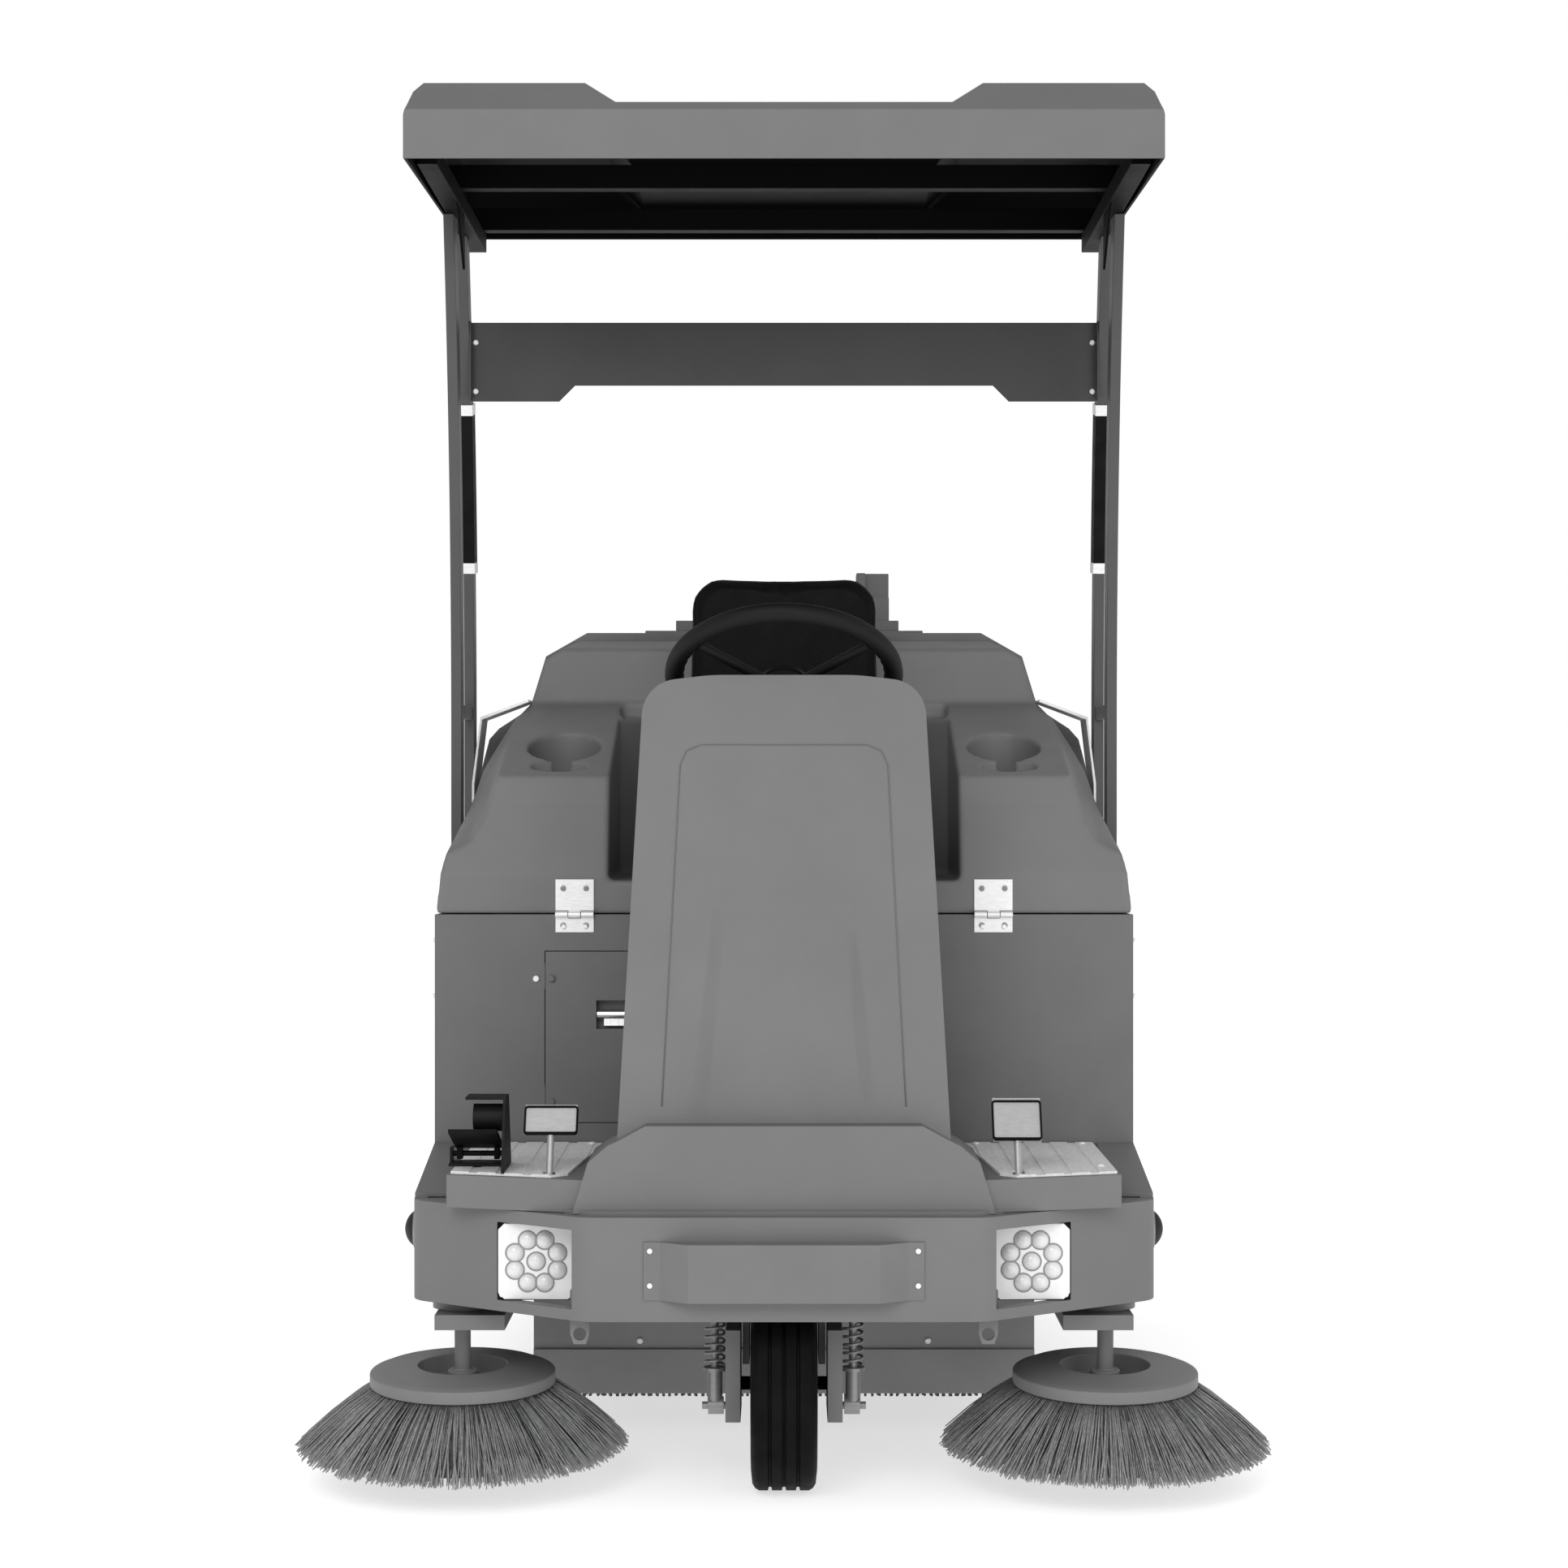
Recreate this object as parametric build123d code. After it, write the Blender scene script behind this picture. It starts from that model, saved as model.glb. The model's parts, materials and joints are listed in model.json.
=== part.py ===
from build123d import *
import math
import os

os.makedirs("parts", exist_ok=True)

# Ride-on sweeper: X runs across it, +Y towards its rear and +Z up. The origin is on the
# floor, under the middle of the machine's own box. All sizes are in millimetres.

# Overall sizes
body_length = 1880.0          # bumper plate to hopper handle
body_half = 549.0             # half width at the bumper and the seat box's front
roof_height = 2070.0          # floor to the roof's side lobes
front_end = -body_length / 2
rear_end = front_end + body_length

# Stations along the machine, from its front
bumper_y = front_end + 30.0           # flat middle of the bumper
wall_y = bumper_y + 480.0             # front wall of the seat box
waist_y = wall_y + 330.0              # where the body has narrowed to the waist
box_rear_y = wall_y + 530.0           # rear wall of the seat box
rear_cover_y = box_rear_y + 10.0      # front of the rear cover
waist_half = body_half - 25.0         # half width beside the uprights

# Levels
floor_top = 478.0             # top of the step treads
tread_thickness = 4.0
box_top = 835.0               # top of the seat box's walls
hood_gap = 2.0                # seam between the seat box and the hood
rail_low, rail_high = 300.0, 356.0    # chassis rails
skin = 5.0                    # moulded covers
sheet = 4.0                   # folded steel panels
fit = 0.05                    # running clearance of a shaft in its hole, on the radius
play = 1.0                    # gap between neighbours that move apart

# Front wheel and fork
front_wheel_r, front_tyre_half = 155.0, 48.5
fork_y = bumper_y + 191.0
fork_x = 63.0                 # inner face of a fork blade
blade_thickness = 22.0
spring_x = 102.0
spring_travel = 20.0
axle_r = 10.0
crown_z, crown_thickness = 340.0, 12.0
stem_r = 16.0

# Rear wheels
rear_wheel_r, rear_wheel_inner, rear_wheel_width = 175.0, 370.0, 90.0
rear_axle_y = rear_end - 400.0
stub_r = 12.0

# Brushes
side_brush_r = 250.0
side_brush_x = body_half - 71.0
side_brush_y = bumper_y + 230.0
side_brush_z = 54.0           # middle of the bristle tips, raised
side_disc_r, side_disc_hole_r, side_disc_rise = 137.5, 66.0, 123.5
side_brush_lean = 3.0         # degrees, front down
arm_pivot_y, arm_pivot_z, arm_pin_r = wall_y + 30.0, 300.0, 6.0
broom_r, broom_core_r, broom_half, broom_y, broom_z = 140.0, 60.0, 360.0, wall_y + 370.0, 145.0
broom_shaft_r = 12.0

# Steering wheel and its column
wheel_lean = 32.0             # degrees, front edge up
wheel_y, wheel_z = wall_y - 110.0, 1206.0
wheel_r, rim_r = 168.0, 15.0
column_length = 196.0
column_r, lower_shaft_r = 12.0, 10.0

# Canopy
upright_x = body_half + 1.0 - 17.0    # inner face of an upright
upright_thickness, upright_depth = 17.0, 45.0
upright_foot, upright_bend, upright_top = 560.0, 1100.0, roof_height - 110.0
front_upright_y, front_upright_lean = wall_y + 270.0, 120.0
rear_upright_y, rear_upright_lean = wall_y + 480.0, 130.0
roof_front_y, roof_rear_y = front_end + 130.0, wall_y + 550.0
roof_lip_front, roof_lip_rear = roof_height - 124.0, roof_height - 77.0
roof_half_front, roof_half_rear = body_half + 3.0, body_half + 19.0

# Hood, seat and hinges
recess_half = 276.0
recess_floor = 888.0
shelf_front_z, shelf_rear_z = 1054.0, 1178.0
hinge_x, hinge_half, hinge_axis_z, knuckle_r, hinge_pin_r = body_half - 220.0, 30.0, box_top, 5.0, 2.0
hinge_axis_y = wall_y - knuckle_r - 1.0
seat_half, seat_back_half, seat_back_top = 185.0, 163.0, 1393.0

# Hopper
hopper_half, hopper_y, hopper_low, hopper_high = 346.0, wall_y + 660.0, 150.0, 520.0


def block(x0, x1, y0, y1, z0, z1):
    """Box between two corners."""
    middle = Pos((x0 + x1) / 2, (y0 + y1) / 2, (z0 + z1) / 2)
    return middle * Box(abs(x1 - x0), abs(y1 - y0), abs(z1 - z0))


def outline(points, rounding=0):
    """Face inside a closed run of points, its corners rounded by one radius or a list of them."""
    if not rounding:
        return make_face(Polyline(*points, close=True))
    return make_face(FilletPolyline(*points, radius=rounding, close=True))


def prism_x(points, x0, x1, rounding=0):
    """A (y, z) outline carried from x0 to x1."""
    face = outline([(x0, y, z) for y, z in points], rounding)
    return extrude(face, amount=x1 - x0, dir=(1, 0, 0))


def prism_y(points, y0, y1, rounding=0):
    """An (x, z) outline carried from y0 to y1."""
    face = outline([(x, y0, z) for x, z in points], rounding)
    return extrude(face, amount=y1 - y0, dir=(0, 1, 0))


def prism_z(points, z0, z1, rounding=0):
    """An (x, y) outline carried from z0 to z1."""
    face = outline([(x, y, z0) for x, y in points], rounding)
    return extrude(face, amount=z1 - z0, dir=(0, 0, 1))


def whole(half):
    """Closed outline made from its right half, given from one end to the other."""
    return half + [(-x, other) for x, other in reversed(half) if x > 0]


def rod(start, end, radius):
    """Cylinder between two points."""
    start, end = Vector(start), Vector(end)
    place = Plane(origin=start, z_dir=end - start)
    return extrude(place * Circle(radius), amount=(end - start).length)


def sleeve(start, end, radius, bore):
    """Tube between two points."""
    return rod(start, end, radius) - rod(start, end, bore)


def both(shape):
    """A shape on the right and its mirror image on the left."""
    return [shape, mirror(shape, about=Plane.YZ)]


def solids_of(shape):
    """Every solid in a shape, or in lists of shapes."""
    if isinstance(shape, (list, tuple)):
        return [solid for item in shape for solid in solids_of(item)]
    return shape.solids()


def save(node, shape):
    """Write one node from all its solids."""
    solids = solids_of(shape)
    export_step(Compound(solids) if len(solids) > 1 else solids[0], f"parts/{node}.step")


def screw(x, y, z, radius, height, direction):
    """Domed screw head standing out of a face at a point."""
    head = Pos(0, 0, height / 2) * Cylinder(radius, height)
    head = chamfer(head.edges().group_by(Axis.Z)[-1], min(radius, height) * 0.4)
    return Plane(origin=(x, y, z), z_dir=direction) * head


# ---------------------------------------------------------------- chassis
rail_x, rail_w = 190.0, 40.0
side_rail_x = waist_half - 54.0
cross_y, cross_w = wall_y + 180.0, 50.0
hopper_cross_y = hopper_y - 55.0
step_half = body_half - 60.0          # outer edge of the steps
bumper_wall = 20.0


def chassis_frame():
    side_end = side_rail_x + rail_w
    inside = body_half - bumper_wall
    pieces = both(block(rail_x, rail_x + rail_w, bumper_y + bumper_wall, cross_y, rail_low, rail_high))
    pieces += both(block(side_rail_x, side_end, cross_y + cross_w, rear_end - 60, rail_low, rail_high))
    pieces.append(block(-side_end, side_end, cross_y, cross_y + cross_w, rail_low, rail_high))
    pieces.append(block(-side_rail_x, side_rail_x, hopper_cross_y, hopper_cross_y + rail_w, rail_low, rail_high))
    # outriggers that carry the steps and the brush arms, with a post each
    post_x = step_half - skin - 44
    for y in (wall_y - 170.0, arm_pivot_y - 20.0):
        pieces += both(block(rail_x + rail_w, inside, y, y + rail_w, rail_low + 16, rail_high))
        if y < wall_y - rail_w:
            pieces += both(block(post_x, post_x + rail_w, y, y + rail_w, rail_high, cowl_top - skin))
    # clevis plates and pins of the brush arms
    for x in (side_brush_x - 28, side_brush_x + 20):
        pivot = rod((x - 1, arm_pivot_y, arm_pivot_z), (x + 9, arm_pivot_y, arm_pivot_z), arm_pin_r)
        ear = block(x, x + 8, arm_pivot_y - 16, arm_pivot_y + 16, arm_pivot_z - 16, rail_low + 16)
        pieces += both(ear - pivot)
    pieces += both(rod((side_brush_x - 30, arm_pivot_y, arm_pivot_z),
                       (side_brush_x + 30, arm_pivot_y, arm_pivot_z), arm_pin_r))
    # brackets and stub axles of the rear wheels, outside the wheels
    bracket_x = rear_wheel_inner + rear_wheel_width + 10.0
    plate = block(bracket_x, bracket_x + 12, rear_axle_y - 45, rear_axle_y + 45, rear_wheel_r - 35, rail_low)
    stub = rod((rear_wheel_inner + 6, rear_axle_y, rear_wheel_r),
               (bracket_x + 12, rear_axle_y, rear_wheel_r), stub_r)
    pieces += both(plate - stub) + both(stub)
    # holders and pins of the two floor pedals
    holder_y0, holder_y1, ear_x = pedal_pivot_y - 14, pedal_pivot_y + 31, 20.0
    shelf_z = cowl_low + 1
    pieces += both(block(rail_x + rail_w, pedal_x + 26, holder_y0, holder_y1, shelf_z, shelf_z + 5))
    pieces += both(block(rail_x + 10, rail_x + rail_w, holder_y0, holder_y1, rail_high, shelf_z + 5))
    pin = rod((pedal_x - ear_x - 6, pedal_pivot_y, pedal_pivot_z),
              (pedal_x + ear_x + 6, pedal_pivot_y, pedal_pivot_z), pedal_pin_r)
    for x in (pedal_x - ear_x - 4, pedal_x + ear_x):
        ear = block(x, x + 4, pedal_pivot_y - 10, pedal_pivot_y + 10, shelf_z + 5, pedal_pivot_z + 10)
        pieces += both(ear - pin)
    pieces += both(pin)
    # battery tray and hopper runners
    pieces.append(block(-255, 255, wall_y + 34, box_rear_y - 80, rail_high, rail_high + 6))
    runner_x = hopper_half + 6
    pieces += both(block(runner_x, runner_x + 14, hopper_cross_y + rail_w, rear_end - 60, rail_low, rail_low + 20))
    return pieces


# ---------------------------------------------------------------- bumper and what it carries
bumper_low, bumper_high = 278.0, 426.0
bumper_flat, bumper_sweep = 285.0, 190.0
corner_y = bumper_y + bumper_sweep
sweep_angle = math.atan2(bumper_sweep, body_half - bumper_flat)
lamp_x, lamp_z, lamp_half = body_half - 191.0, 350.5, 55.0
lamp_y = bumper_y + 88.0


def bumper_plan(inset):
    """Right half of the bumper's plan, set in from its outer face."""
    return [(bumper_flat - inset * math.tan(sweep_angle / 2), bumper_y + inset),
            (body_half - inset, corner_y + inset * math.tan(math.pi / 4 - sweep_angle / 2)),
            (body_half - inset, wall_y - 1)]


def bumper_block(inset, low, high, corner_r):
    """Solid inside the bumper's outline."""
    return prism_z(whole(bumper_plan(inset)), low, high, [60 - inset, corner_r, 0, 0, corner_r, 60 - inset])


def front_bumper():
    hollow = bumper_block(bumper_wall, bumper_low - 1, bumper_high + 1, 50 - bumper_wall)
    band = bumper_block(0, bumper_low, bumper_high, 50) - hollow
    band -= block(-body_half + bumper_wall, body_half - bumper_wall, wall_y - 40, wall_y, bumper_low - 1,
                  bumper_high + 1)
    # side tops rise towards the wall, and each lamp has a square opening
    rise = [(corner_y + 30, bumper_high), (wall_y - 1, bumper_high), (wall_y - 1, floor_top - 1),
            (corner_y + 30, bumper_high + 6)]
    for top in both(prism_x(rise, step_half + 2, body_half)):
        band += top
    hole = lamp_half + 1.5
    for x in (lamp_x, -lamp_x):
        band -= block(x - hole, x + hole, bumper_y - 10, corner_y, lamp_z - hole, lamp_z + hole)
    return band


def headlight_plates():
    corner = 9.0
    points = [(lamp_half - corner, lamp_half), (lamp_half, lamp_half - corner),
              (lamp_half, corner - lamp_half), (lamp_half - corner, -lamp_half)]
    points += [(-x, -z) for x, z in points]
    plate = prism_y([(lamp_x + x, lamp_z + z) for x, z in points], lamp_y, lamp_y + 6)
    body = block(lamp_x - 40, lamp_x + 40, lamp_y + 6, lamp_y + 40, lamp_z - 40, lamp_z + 40)
    return both(plate + body)


def headlight_leds():
    dome_r, dome_height, ring_r = 12.3, 6.0, 33.0
    ball = (dome_r ** 2 + dome_height ** 2) / (2 * dome_height)
    dome = Pos(0, 0, dome_height - ball) * Sphere(ball) & Pos(0, 0, dome_height / 2) * Box(40, 40, dome_height)
    angles = [math.radians(quarter * 90 + turn) for quarter in range(4) for turn in (22, 68)]
    spots = [(0, 0)] + [(ring_r * math.cos(a), ring_r * math.sin(a)) for a in angles]
    return [both(Plane(origin=(lamp_x + x, lamp_y, lamp_z + z), z_dir=(0, -1, 0)) * dome) for x, z in spots]


def bumper_plate():
    box_half, box_foot, tab = 135.0, 176.0, 199.0
    low, high, depth, gauge = 309.0, 391.5, 30.0, 2.5
    rim = [(box_foot, bumper_y), (box_foot, bumper_y - gauge), (box_half, bumper_y - depth)]
    inner = [(box_foot - 8, bumper_y + 1), (box_half - 2, bumper_y - depth + gauge * 1.6)]
    cover = prism_z(whole(rim), low, high) - prism_z(whole(inner), low + gauge, high - gauge)
    for tongue in both(block(box_foot - 1, tab, bumper_y - gauge, bumper_y, low, high)):
        cover += tongue
    return cover


def dome_cap(radius, height):
    """Shallow dome standing on its flat face."""
    ball = (radius ** 2 + height ** 2) / (2 * height)
    return Pos(0, 0, height - ball) * Sphere(ball) & Pos(0, 0, height / 2) * Box(3 * radius, 3 * radius, height)


def side_markers():
    place = Plane(origin=(body_half, corner_y + 60, 375), z_dir=(1, 0, 0))
    return both(place * dome_cap(29.0, 18.0))


tow_eye_x, tow_eye_z, tow_eye_r, tow_eye_thickness = bumper_flat + 7.0, 254.0, 9.0, 6.0


def tow_eyes():
    """Plates that hang behind the bumper's bend from the chassis rails."""
    back = bumper_y + bumper_wall + 22
    root = rail_x + rail_w - tow_eye_x
    corners = [(root, 76), (root, 50), (-14, 42), (-14, 0), (-9, -15), (9, -15), (14, 0), (14, 62), (0, 76)]
    plate = prism_y([(tow_eye_x + x, tow_eye_z + z) for x, z in corners], back, back + tow_eye_thickness)
    return both(plate - rod((tow_eye_x, back - 1, tow_eye_z), (tow_eye_x, back + 10, tow_eye_z), tow_eye_r))


# ---------------------------------------------------------------- front cowl, steps and console
cowl_y = bumper_y + bumper_wall + 10.0
cowl_top = floor_top - tread_thickness
cowl_low = bumper_high + 1.0
hump_top = 552.0
pedal_x, pedal_slot_y, pedal_slot_half = body_half - 209.0, wall_y - 377.0, 9.0
pedal_pivot_y, pedal_pivot_z, pedal_pin_r = pedal_slot_y - 14.0, 446.0, 4.0
console_lean = math.atan2(200, 648)
console_front_y = bumper_y + 70.0     # front face at the hump's top


def cowl_plan(inset):
    """Right half of the step deck's plan."""
    return [(253 - inset, cowl_y + inset), (280 - inset, cowl_y + 6 + inset),
            (step_half - inset, cowl_y + 70 + inset), (step_half - inset, wall_y - 2 - inset)]


def cowl_block(inset):
    """Solid under the steps and the hump between them."""
    low = cowl_low - inset
    deck = prism_z(whole(cowl_plan(inset)), low, cowl_top - inset)
    view = [(198, hump_top - inset), (235 - inset, 532 - inset), (252 - inset, 524 - inset),
            (280 - inset, 500 - inset), (302 - inset, low)]
    side = [(cowl_y + inset, low), (cowl_y + inset, hump_top - inset), (console_front_y, hump_top - inset),
            (wall_y - 200, cowl_top - inset), (wall_y - 200, low)]
    return deck + (prism_y(whole(view), cowl_y, wall_y - 190) & prism_x(side, -310, 310))


def front_cowl():
    """Step deck and hump, with the ledge that fills in behind the bumper."""
    inside = bumper_wall + 0.5
    ledge = bumper_block(inside, cowl_low - 7, cowl_low - 2, 50 - inside)
    ledge += bumper_block(inside, cowl_low - 2, cowl_low + 5, 50 - inside) & block(
        -step_half - 1, step_half + 1, bumper_y, wall_y, cowl_low - 2, cowl_low + 5)
    ledge -= prism_z(whole(cowl_plan(0)), cowl_low - 8, cowl_top)
    ledge -= block(-body_half, body_half, wall_y - 30, wall_y, cowl_low - 8, cowl_low + 6)
    cowl = cowl_block(0) + ledge - cowl_block(skin)
    cowl -= rod((0, lower_shaft_y, bumper_high - 20), (0, lower_shaft_y, hump_top + 20), 40)
    for slot in pedal_slots():
        cowl -= slot
    return cowl


def pedal_slots():
    return both(block(pedal_x - pedal_slot_half, pedal_x + pedal_slot_half, pedal_slot_y - 20,
                      pedal_slot_y + 22, cowl_top - 20, floor_top + 5))


def step_treads():
    margin, groove_floor = 5.0, 1.5
    plan = [(282, wall_y - 4), (step_half - margin, wall_y - 4), (step_half - margin, cowl_y + 82),
            (335, cowl_y + 36), (312, cowl_y + 60)]
    plate = prism_z(plan, cowl_top, floor_top - groove_floor)
    ribs, pitch, rib_w = [], 40.0, 27.0
    x = step_half - margin - rib_w
    while x > 282:
        ribs.append(prism_z(plan, floor_top - groove_floor, floor_top) &
                    block(x, x + rib_w, cowl_y, wall_y, floor_top - 2, floor_top))
        x -= pitch
    for rib in ribs:
        plate += rib
    slot = pedal_slots()[0]
    return both(plate - slot)


def console_block(inset):
    """Solid of the steering console, set in from its outer faces."""
    foot, top = floor_top - 2 * inset, 1204.0 - inset
    half_foot, half_top = 242.0 - inset, 211.0 - inset
    view = [(half_foot, foot), (half_top, top - 12), (110, top)]
    front = prism_y(whole(view), bumper_y, wall_y, [0, 55, 300, 300, 55, 0])
    lean = math.tan(console_lean)
    front_y = console_front_y + inset
    foot_y = front_y - (hump_top - foot) * lean
    crest_y = front_y + (top - hump_top) * lean
    side = [(foot_y, foot), (crest_y, top), (crest_y + 18, top), (crest_y + 28, dash_level(crest_y + 28) - inset),
            (wall_y - 70 - inset, dash_level(wall_y - 70) - inset), (wall_y - 90 - inset, 1010),
            (wall_y - 192 - inset, 800), (wall_y - 192 - inset, foot)]
    return front & prism_x(side, -260, 260)


def dash_level(y):
    """Height of the dash, square to the steering column, at a station."""
    lean = math.radians(wheel_lean)
    return wheel_z - dash_drop * math.cos(lean) - (y - wheel_y + dash_drop * math.sin(lean)) * math.tan(lean)


def console_panel(grow, depth):
    """Tapered panel pressed into the console's front face."""
    face = Plane(origin=(0, console_front_y, hump_top), x_dir=(1, 0, 0),
                 z_dir=(0, -math.cos(console_lean), math.sin(console_lean)))
    outer = [(146 + grow, -60), (106 + grow, 326 + grow)]
    inner = [(115 + grow, -60), (86 + grow, 298 + grow)]
    mouth = face * Pos(0, 0, 0.5) * outline(whole(outer))
    floor = face * Pos(0, 0, -depth) * outline(whole(inner))
    return loft([mouth, floor], ruled=True)


def console():
    shell = console_block(0) - console_panel(0, 9) - (console_block(skin) - console_panel(8, 9 + skin))
    shell -= cowl_block(0)
    for tool in dash_holes():
        shell -= tool
    return shell


dash_drop = 80.0              # wheel plane to the dash, along the column
lower_shaft_y = wheel_y - column_length * math.sin(math.radians(wheel_lean))
wheel_plane = Plane(origin=(0, wheel_y, wheel_z), x_dir=(1, 0, 0),
                    z_dir=(0, math.sin(math.radians(wheel_lean)), math.cos(math.radians(wheel_lean))))
switch_x, switch_y, switch_r = 110.0, 40.0, 8.0
tube_r = 20.0


def on_column(x, y, low, high, radius):
    """Cylinder square to the steering wheel, by its heights along the column."""
    return wheel_plane * Pos(x, y, (low + high) / 2) * Cylinder(radius, high - low)


def dash_holes():
    holes = [on_column(0, 0, -dash_drop - 40, -dash_drop + 20, tube_r + play)]
    for x in (switch_x, -switch_x):
        holes.append(on_column(x, switch_y, -dash_drop - 40, -dash_drop + 20, switch_r + fit))
    return holes


def dashboard():
    plate = wheel_plane * Pos(0, 31, 1 - dash_drop) * Box(330, 118, 2)
    for tool in dash_holes():
        plate -= tool
    return plate


# ---------------------------------------------------------------- steering
def steering_bearings():
    """Column tube, and the steering gearbox over the fork with its mounting plate."""
    tube = on_column(0, 0, -150, -45, tube_r) - on_column(0, 0, -160, -40, column_r + fit)
    plate = block(-rail_x - rail_w, rail_x + rail_w, fork_y - 60, lower_shaft_y + 50, rail_high, rail_high + 12)
    gearbox = block(-50, 50, fork_y - 50, lower_shaft_y + 40, rail_high + 12, cowl_top - 30)
    plate += gearbox
    plate -= rod((0, fork_y, rail_high - 1), (0, fork_y, rail_high + 50), stem_r + fit)
    plate -= rod((0, lower_shaft_y, rail_high + 60), (0, lower_shaft_y, cowl_top), lower_shaft_r + fit)
    return [tube, plate]


def steering_wheel_rim():
    return wheel_plane * Torus(wheel_r, rim_r)


def steering_wheel_hub():
    hub = on_column(0, 0, -38, -8, 32)
    shaft = on_column(0, 0, -column_length + 13, -30, column_r)
    hub += shaft
    for angle in (56, -56, 180):
        turn = math.radians(angle)
        direction = (math.sin(turn), -math.cos(turn))
        start = wheel_plane.from_local_coords((24 * direction[0], 24 * direction[1], -22))
        end = wheel_plane.from_local_coords((wheel_r * direction[0], wheel_r * direction[1], 0))
        hub += rod(start, end, 7.5)
    return hub - steering_wheel_rim()


def steering_shaft():
    top = wheel_z - column_length * math.cos(math.radians(wheel_lean))
    shaft = rod((0, lower_shaft_y, rail_high + 62), (0, lower_shaft_y, top), lower_shaft_r)
    return shaft + Pos(0, lower_shaft_y, top) * Sphere(12)


def key_switch():
    knob = on_column(switch_x, switch_y, -dash_drop + 4, -dash_drop + 12, 11)
    wing = wheel_plane * Pos(switch_x, switch_y, -dash_drop + 19) * Box(6, 22, 14)
    return on_column(switch_x, switch_y, -dash_drop - 14, -dash_drop + 4, switch_r) + knob + wing


def emergency_stop():
    stem = on_column(-switch_x, switch_y, -dash_drop - 14, -dash_drop + 12, switch_r)
    return stem + on_column(-switch_x, switch_y, -dash_drop + 12, -dash_drop + 24, 17)


# ---------------------------------------------------------------- fork, springs and front wheel
inner_plate_x, inner_plate_thickness = front_tyre_half + 2.0, 10.0
spring_low, spring_wire, spring_r = 181.0, 2.2, 14.0
rod_r, tube_low = 6.0, 255.0


def fork_crown():
    crown = block(-spring_x - 23, spring_x + 23, fork_y - 70, fork_y + 70, crown_z, crown_z + crown_thickness)
    crown += rod((0, fork_y, crown_z), (0, fork_y, rail_high + 46), stem_r)
    for x in (inner_plate_x, -inner_plate_x - inner_plate_thickness):
        crown += block(x, x + inner_plate_thickness, fork_y - 40, fork_y + 40, 190, crown_z)
    for x in (spring_x, -spring_x):
        crown += sleeve((x, fork_y, tube_low), (x, fork_y, crown_z), 10, rod_r + fit)
    return crown


def fork_blades():
    """Sliding blades with the axle clamped in them."""
    axle = rod((-fork_x - blade_thickness, fork_y, front_wheel_r), (fork_x + blade_thickness, fork_y, front_wheel_r),
               axle_r)
    blade = block(fork_x, fork_x + blade_thickness, fork_y - 91, fork_y + 35, 115, 249)
    blade -= rod((fork_x - 1, fork_y, front_wheel_r), (fork_x + blade_thickness + 1, fork_y, front_wheel_r), axle_r)
    return both(blade) + [axle]


def shock_absorbers():
    """Lower eye, spring seat and rod of each shock absorber, with its cross bolt."""
    blade_x = fork_x + blade_thickness
    eye_z = 122.0
    shock = rod((blade_x, fork_y, eye_z), (spring_x + 19, fork_y, eye_z), 5.5)
    shock += rod((blade_x + 4, fork_y, eye_z), (spring_x + 10, fork_y, eye_z), 13)
    shock += rod((spring_x, fork_y, eye_z), (spring_x, fork_y, spring_low - 7), 11)
    shock += rod((spring_x, fork_y, spring_low - 7), (spring_x, fork_y, spring_low - spring_wire), spring_r + 3)
    shock += rod((spring_x, fork_y, spring_low - 4), (spring_x, fork_y, crown_z - spring_travel - 3), rod_r)
    return both(shock)


def suspension_springs():
    """Coil springs round the shock absorbers."""
    high = crown_z - spring_wire
    turns = 13
    coil = Helix(pitch=(high - spring_low) / turns, height=high - spring_low, radius=spring_r,
                 center=(spring_x, fork_y, spring_low))
    section = Plane(origin=coil @ 0, z_dir=coil % 0) * Circle(spring_wire)
    return both(sweep(section, path=coil))


def front_hub():
    hub = rod((-front_tyre_half + 4, fork_y, front_wheel_r), (front_tyre_half - 4, fork_y, front_wheel_r), 92)
    return hub - rod((-60, fork_y, front_wheel_r), (60, fork_y, front_wheel_r), axle_r + fit)


def front_tyre():
    tyre = rod((-front_tyre_half, fork_y, front_wheel_r), (front_tyre_half, fork_y, front_wheel_r), front_wheel_r)
    tyre = fillet(tyre.edges().filter_by(GeomType.CIRCLE), 9)
    return tyre - rod((-60, fork_y, front_wheel_r), (60, fork_y, front_wheel_r), 92)


# ---------------------------------------------------------------- rear wheels
def rear_wheel():
    """Tyre and rim of the right rear wheel, which turns on its stub axle."""
    inner, outer = rear_wheel_inner, rear_wheel_inner + rear_wheel_width
    tyre = rod((inner, rear_axle_y, rear_wheel_r), (outer, rear_axle_y, rear_wheel_r), rear_wheel_r)
    tyre = fillet(tyre.edges().filter_by(GeomType.CIRCLE), 12)
    tyre -= rod((inner - 1, rear_axle_y, rear_wheel_r), (outer + 1, rear_axle_y, rear_wheel_r), 105)
    rim = rod((inner + 3, rear_axle_y, rear_wheel_r), (outer - 3, rear_axle_y, rear_wheel_r), 105)
    rim -= rod((inner, rear_axle_y, rear_wheel_r), (outer + 1, rear_axle_y, rear_wheel_r), stub_r + fit)
    rim -= rod((outer - 30, rear_axle_y, rear_wheel_r), (outer, rear_axle_y, rear_wheel_r), 90) - rod(
        (outer - 30, rear_axle_y, rear_wheel_r), (outer, rear_axle_y, rear_wheel_r), 35)
    return tyre, rim


# ---------------------------------------------------------------- seat box with its hatch
def side_half(y):
    """Half width of the seat box at a station."""
    run = (waist_y - y) / (waist_y - wall_y - sheet)
    return waist_half + (body_half - waist_half) * min(1.0, max(0.0, run))


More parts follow.
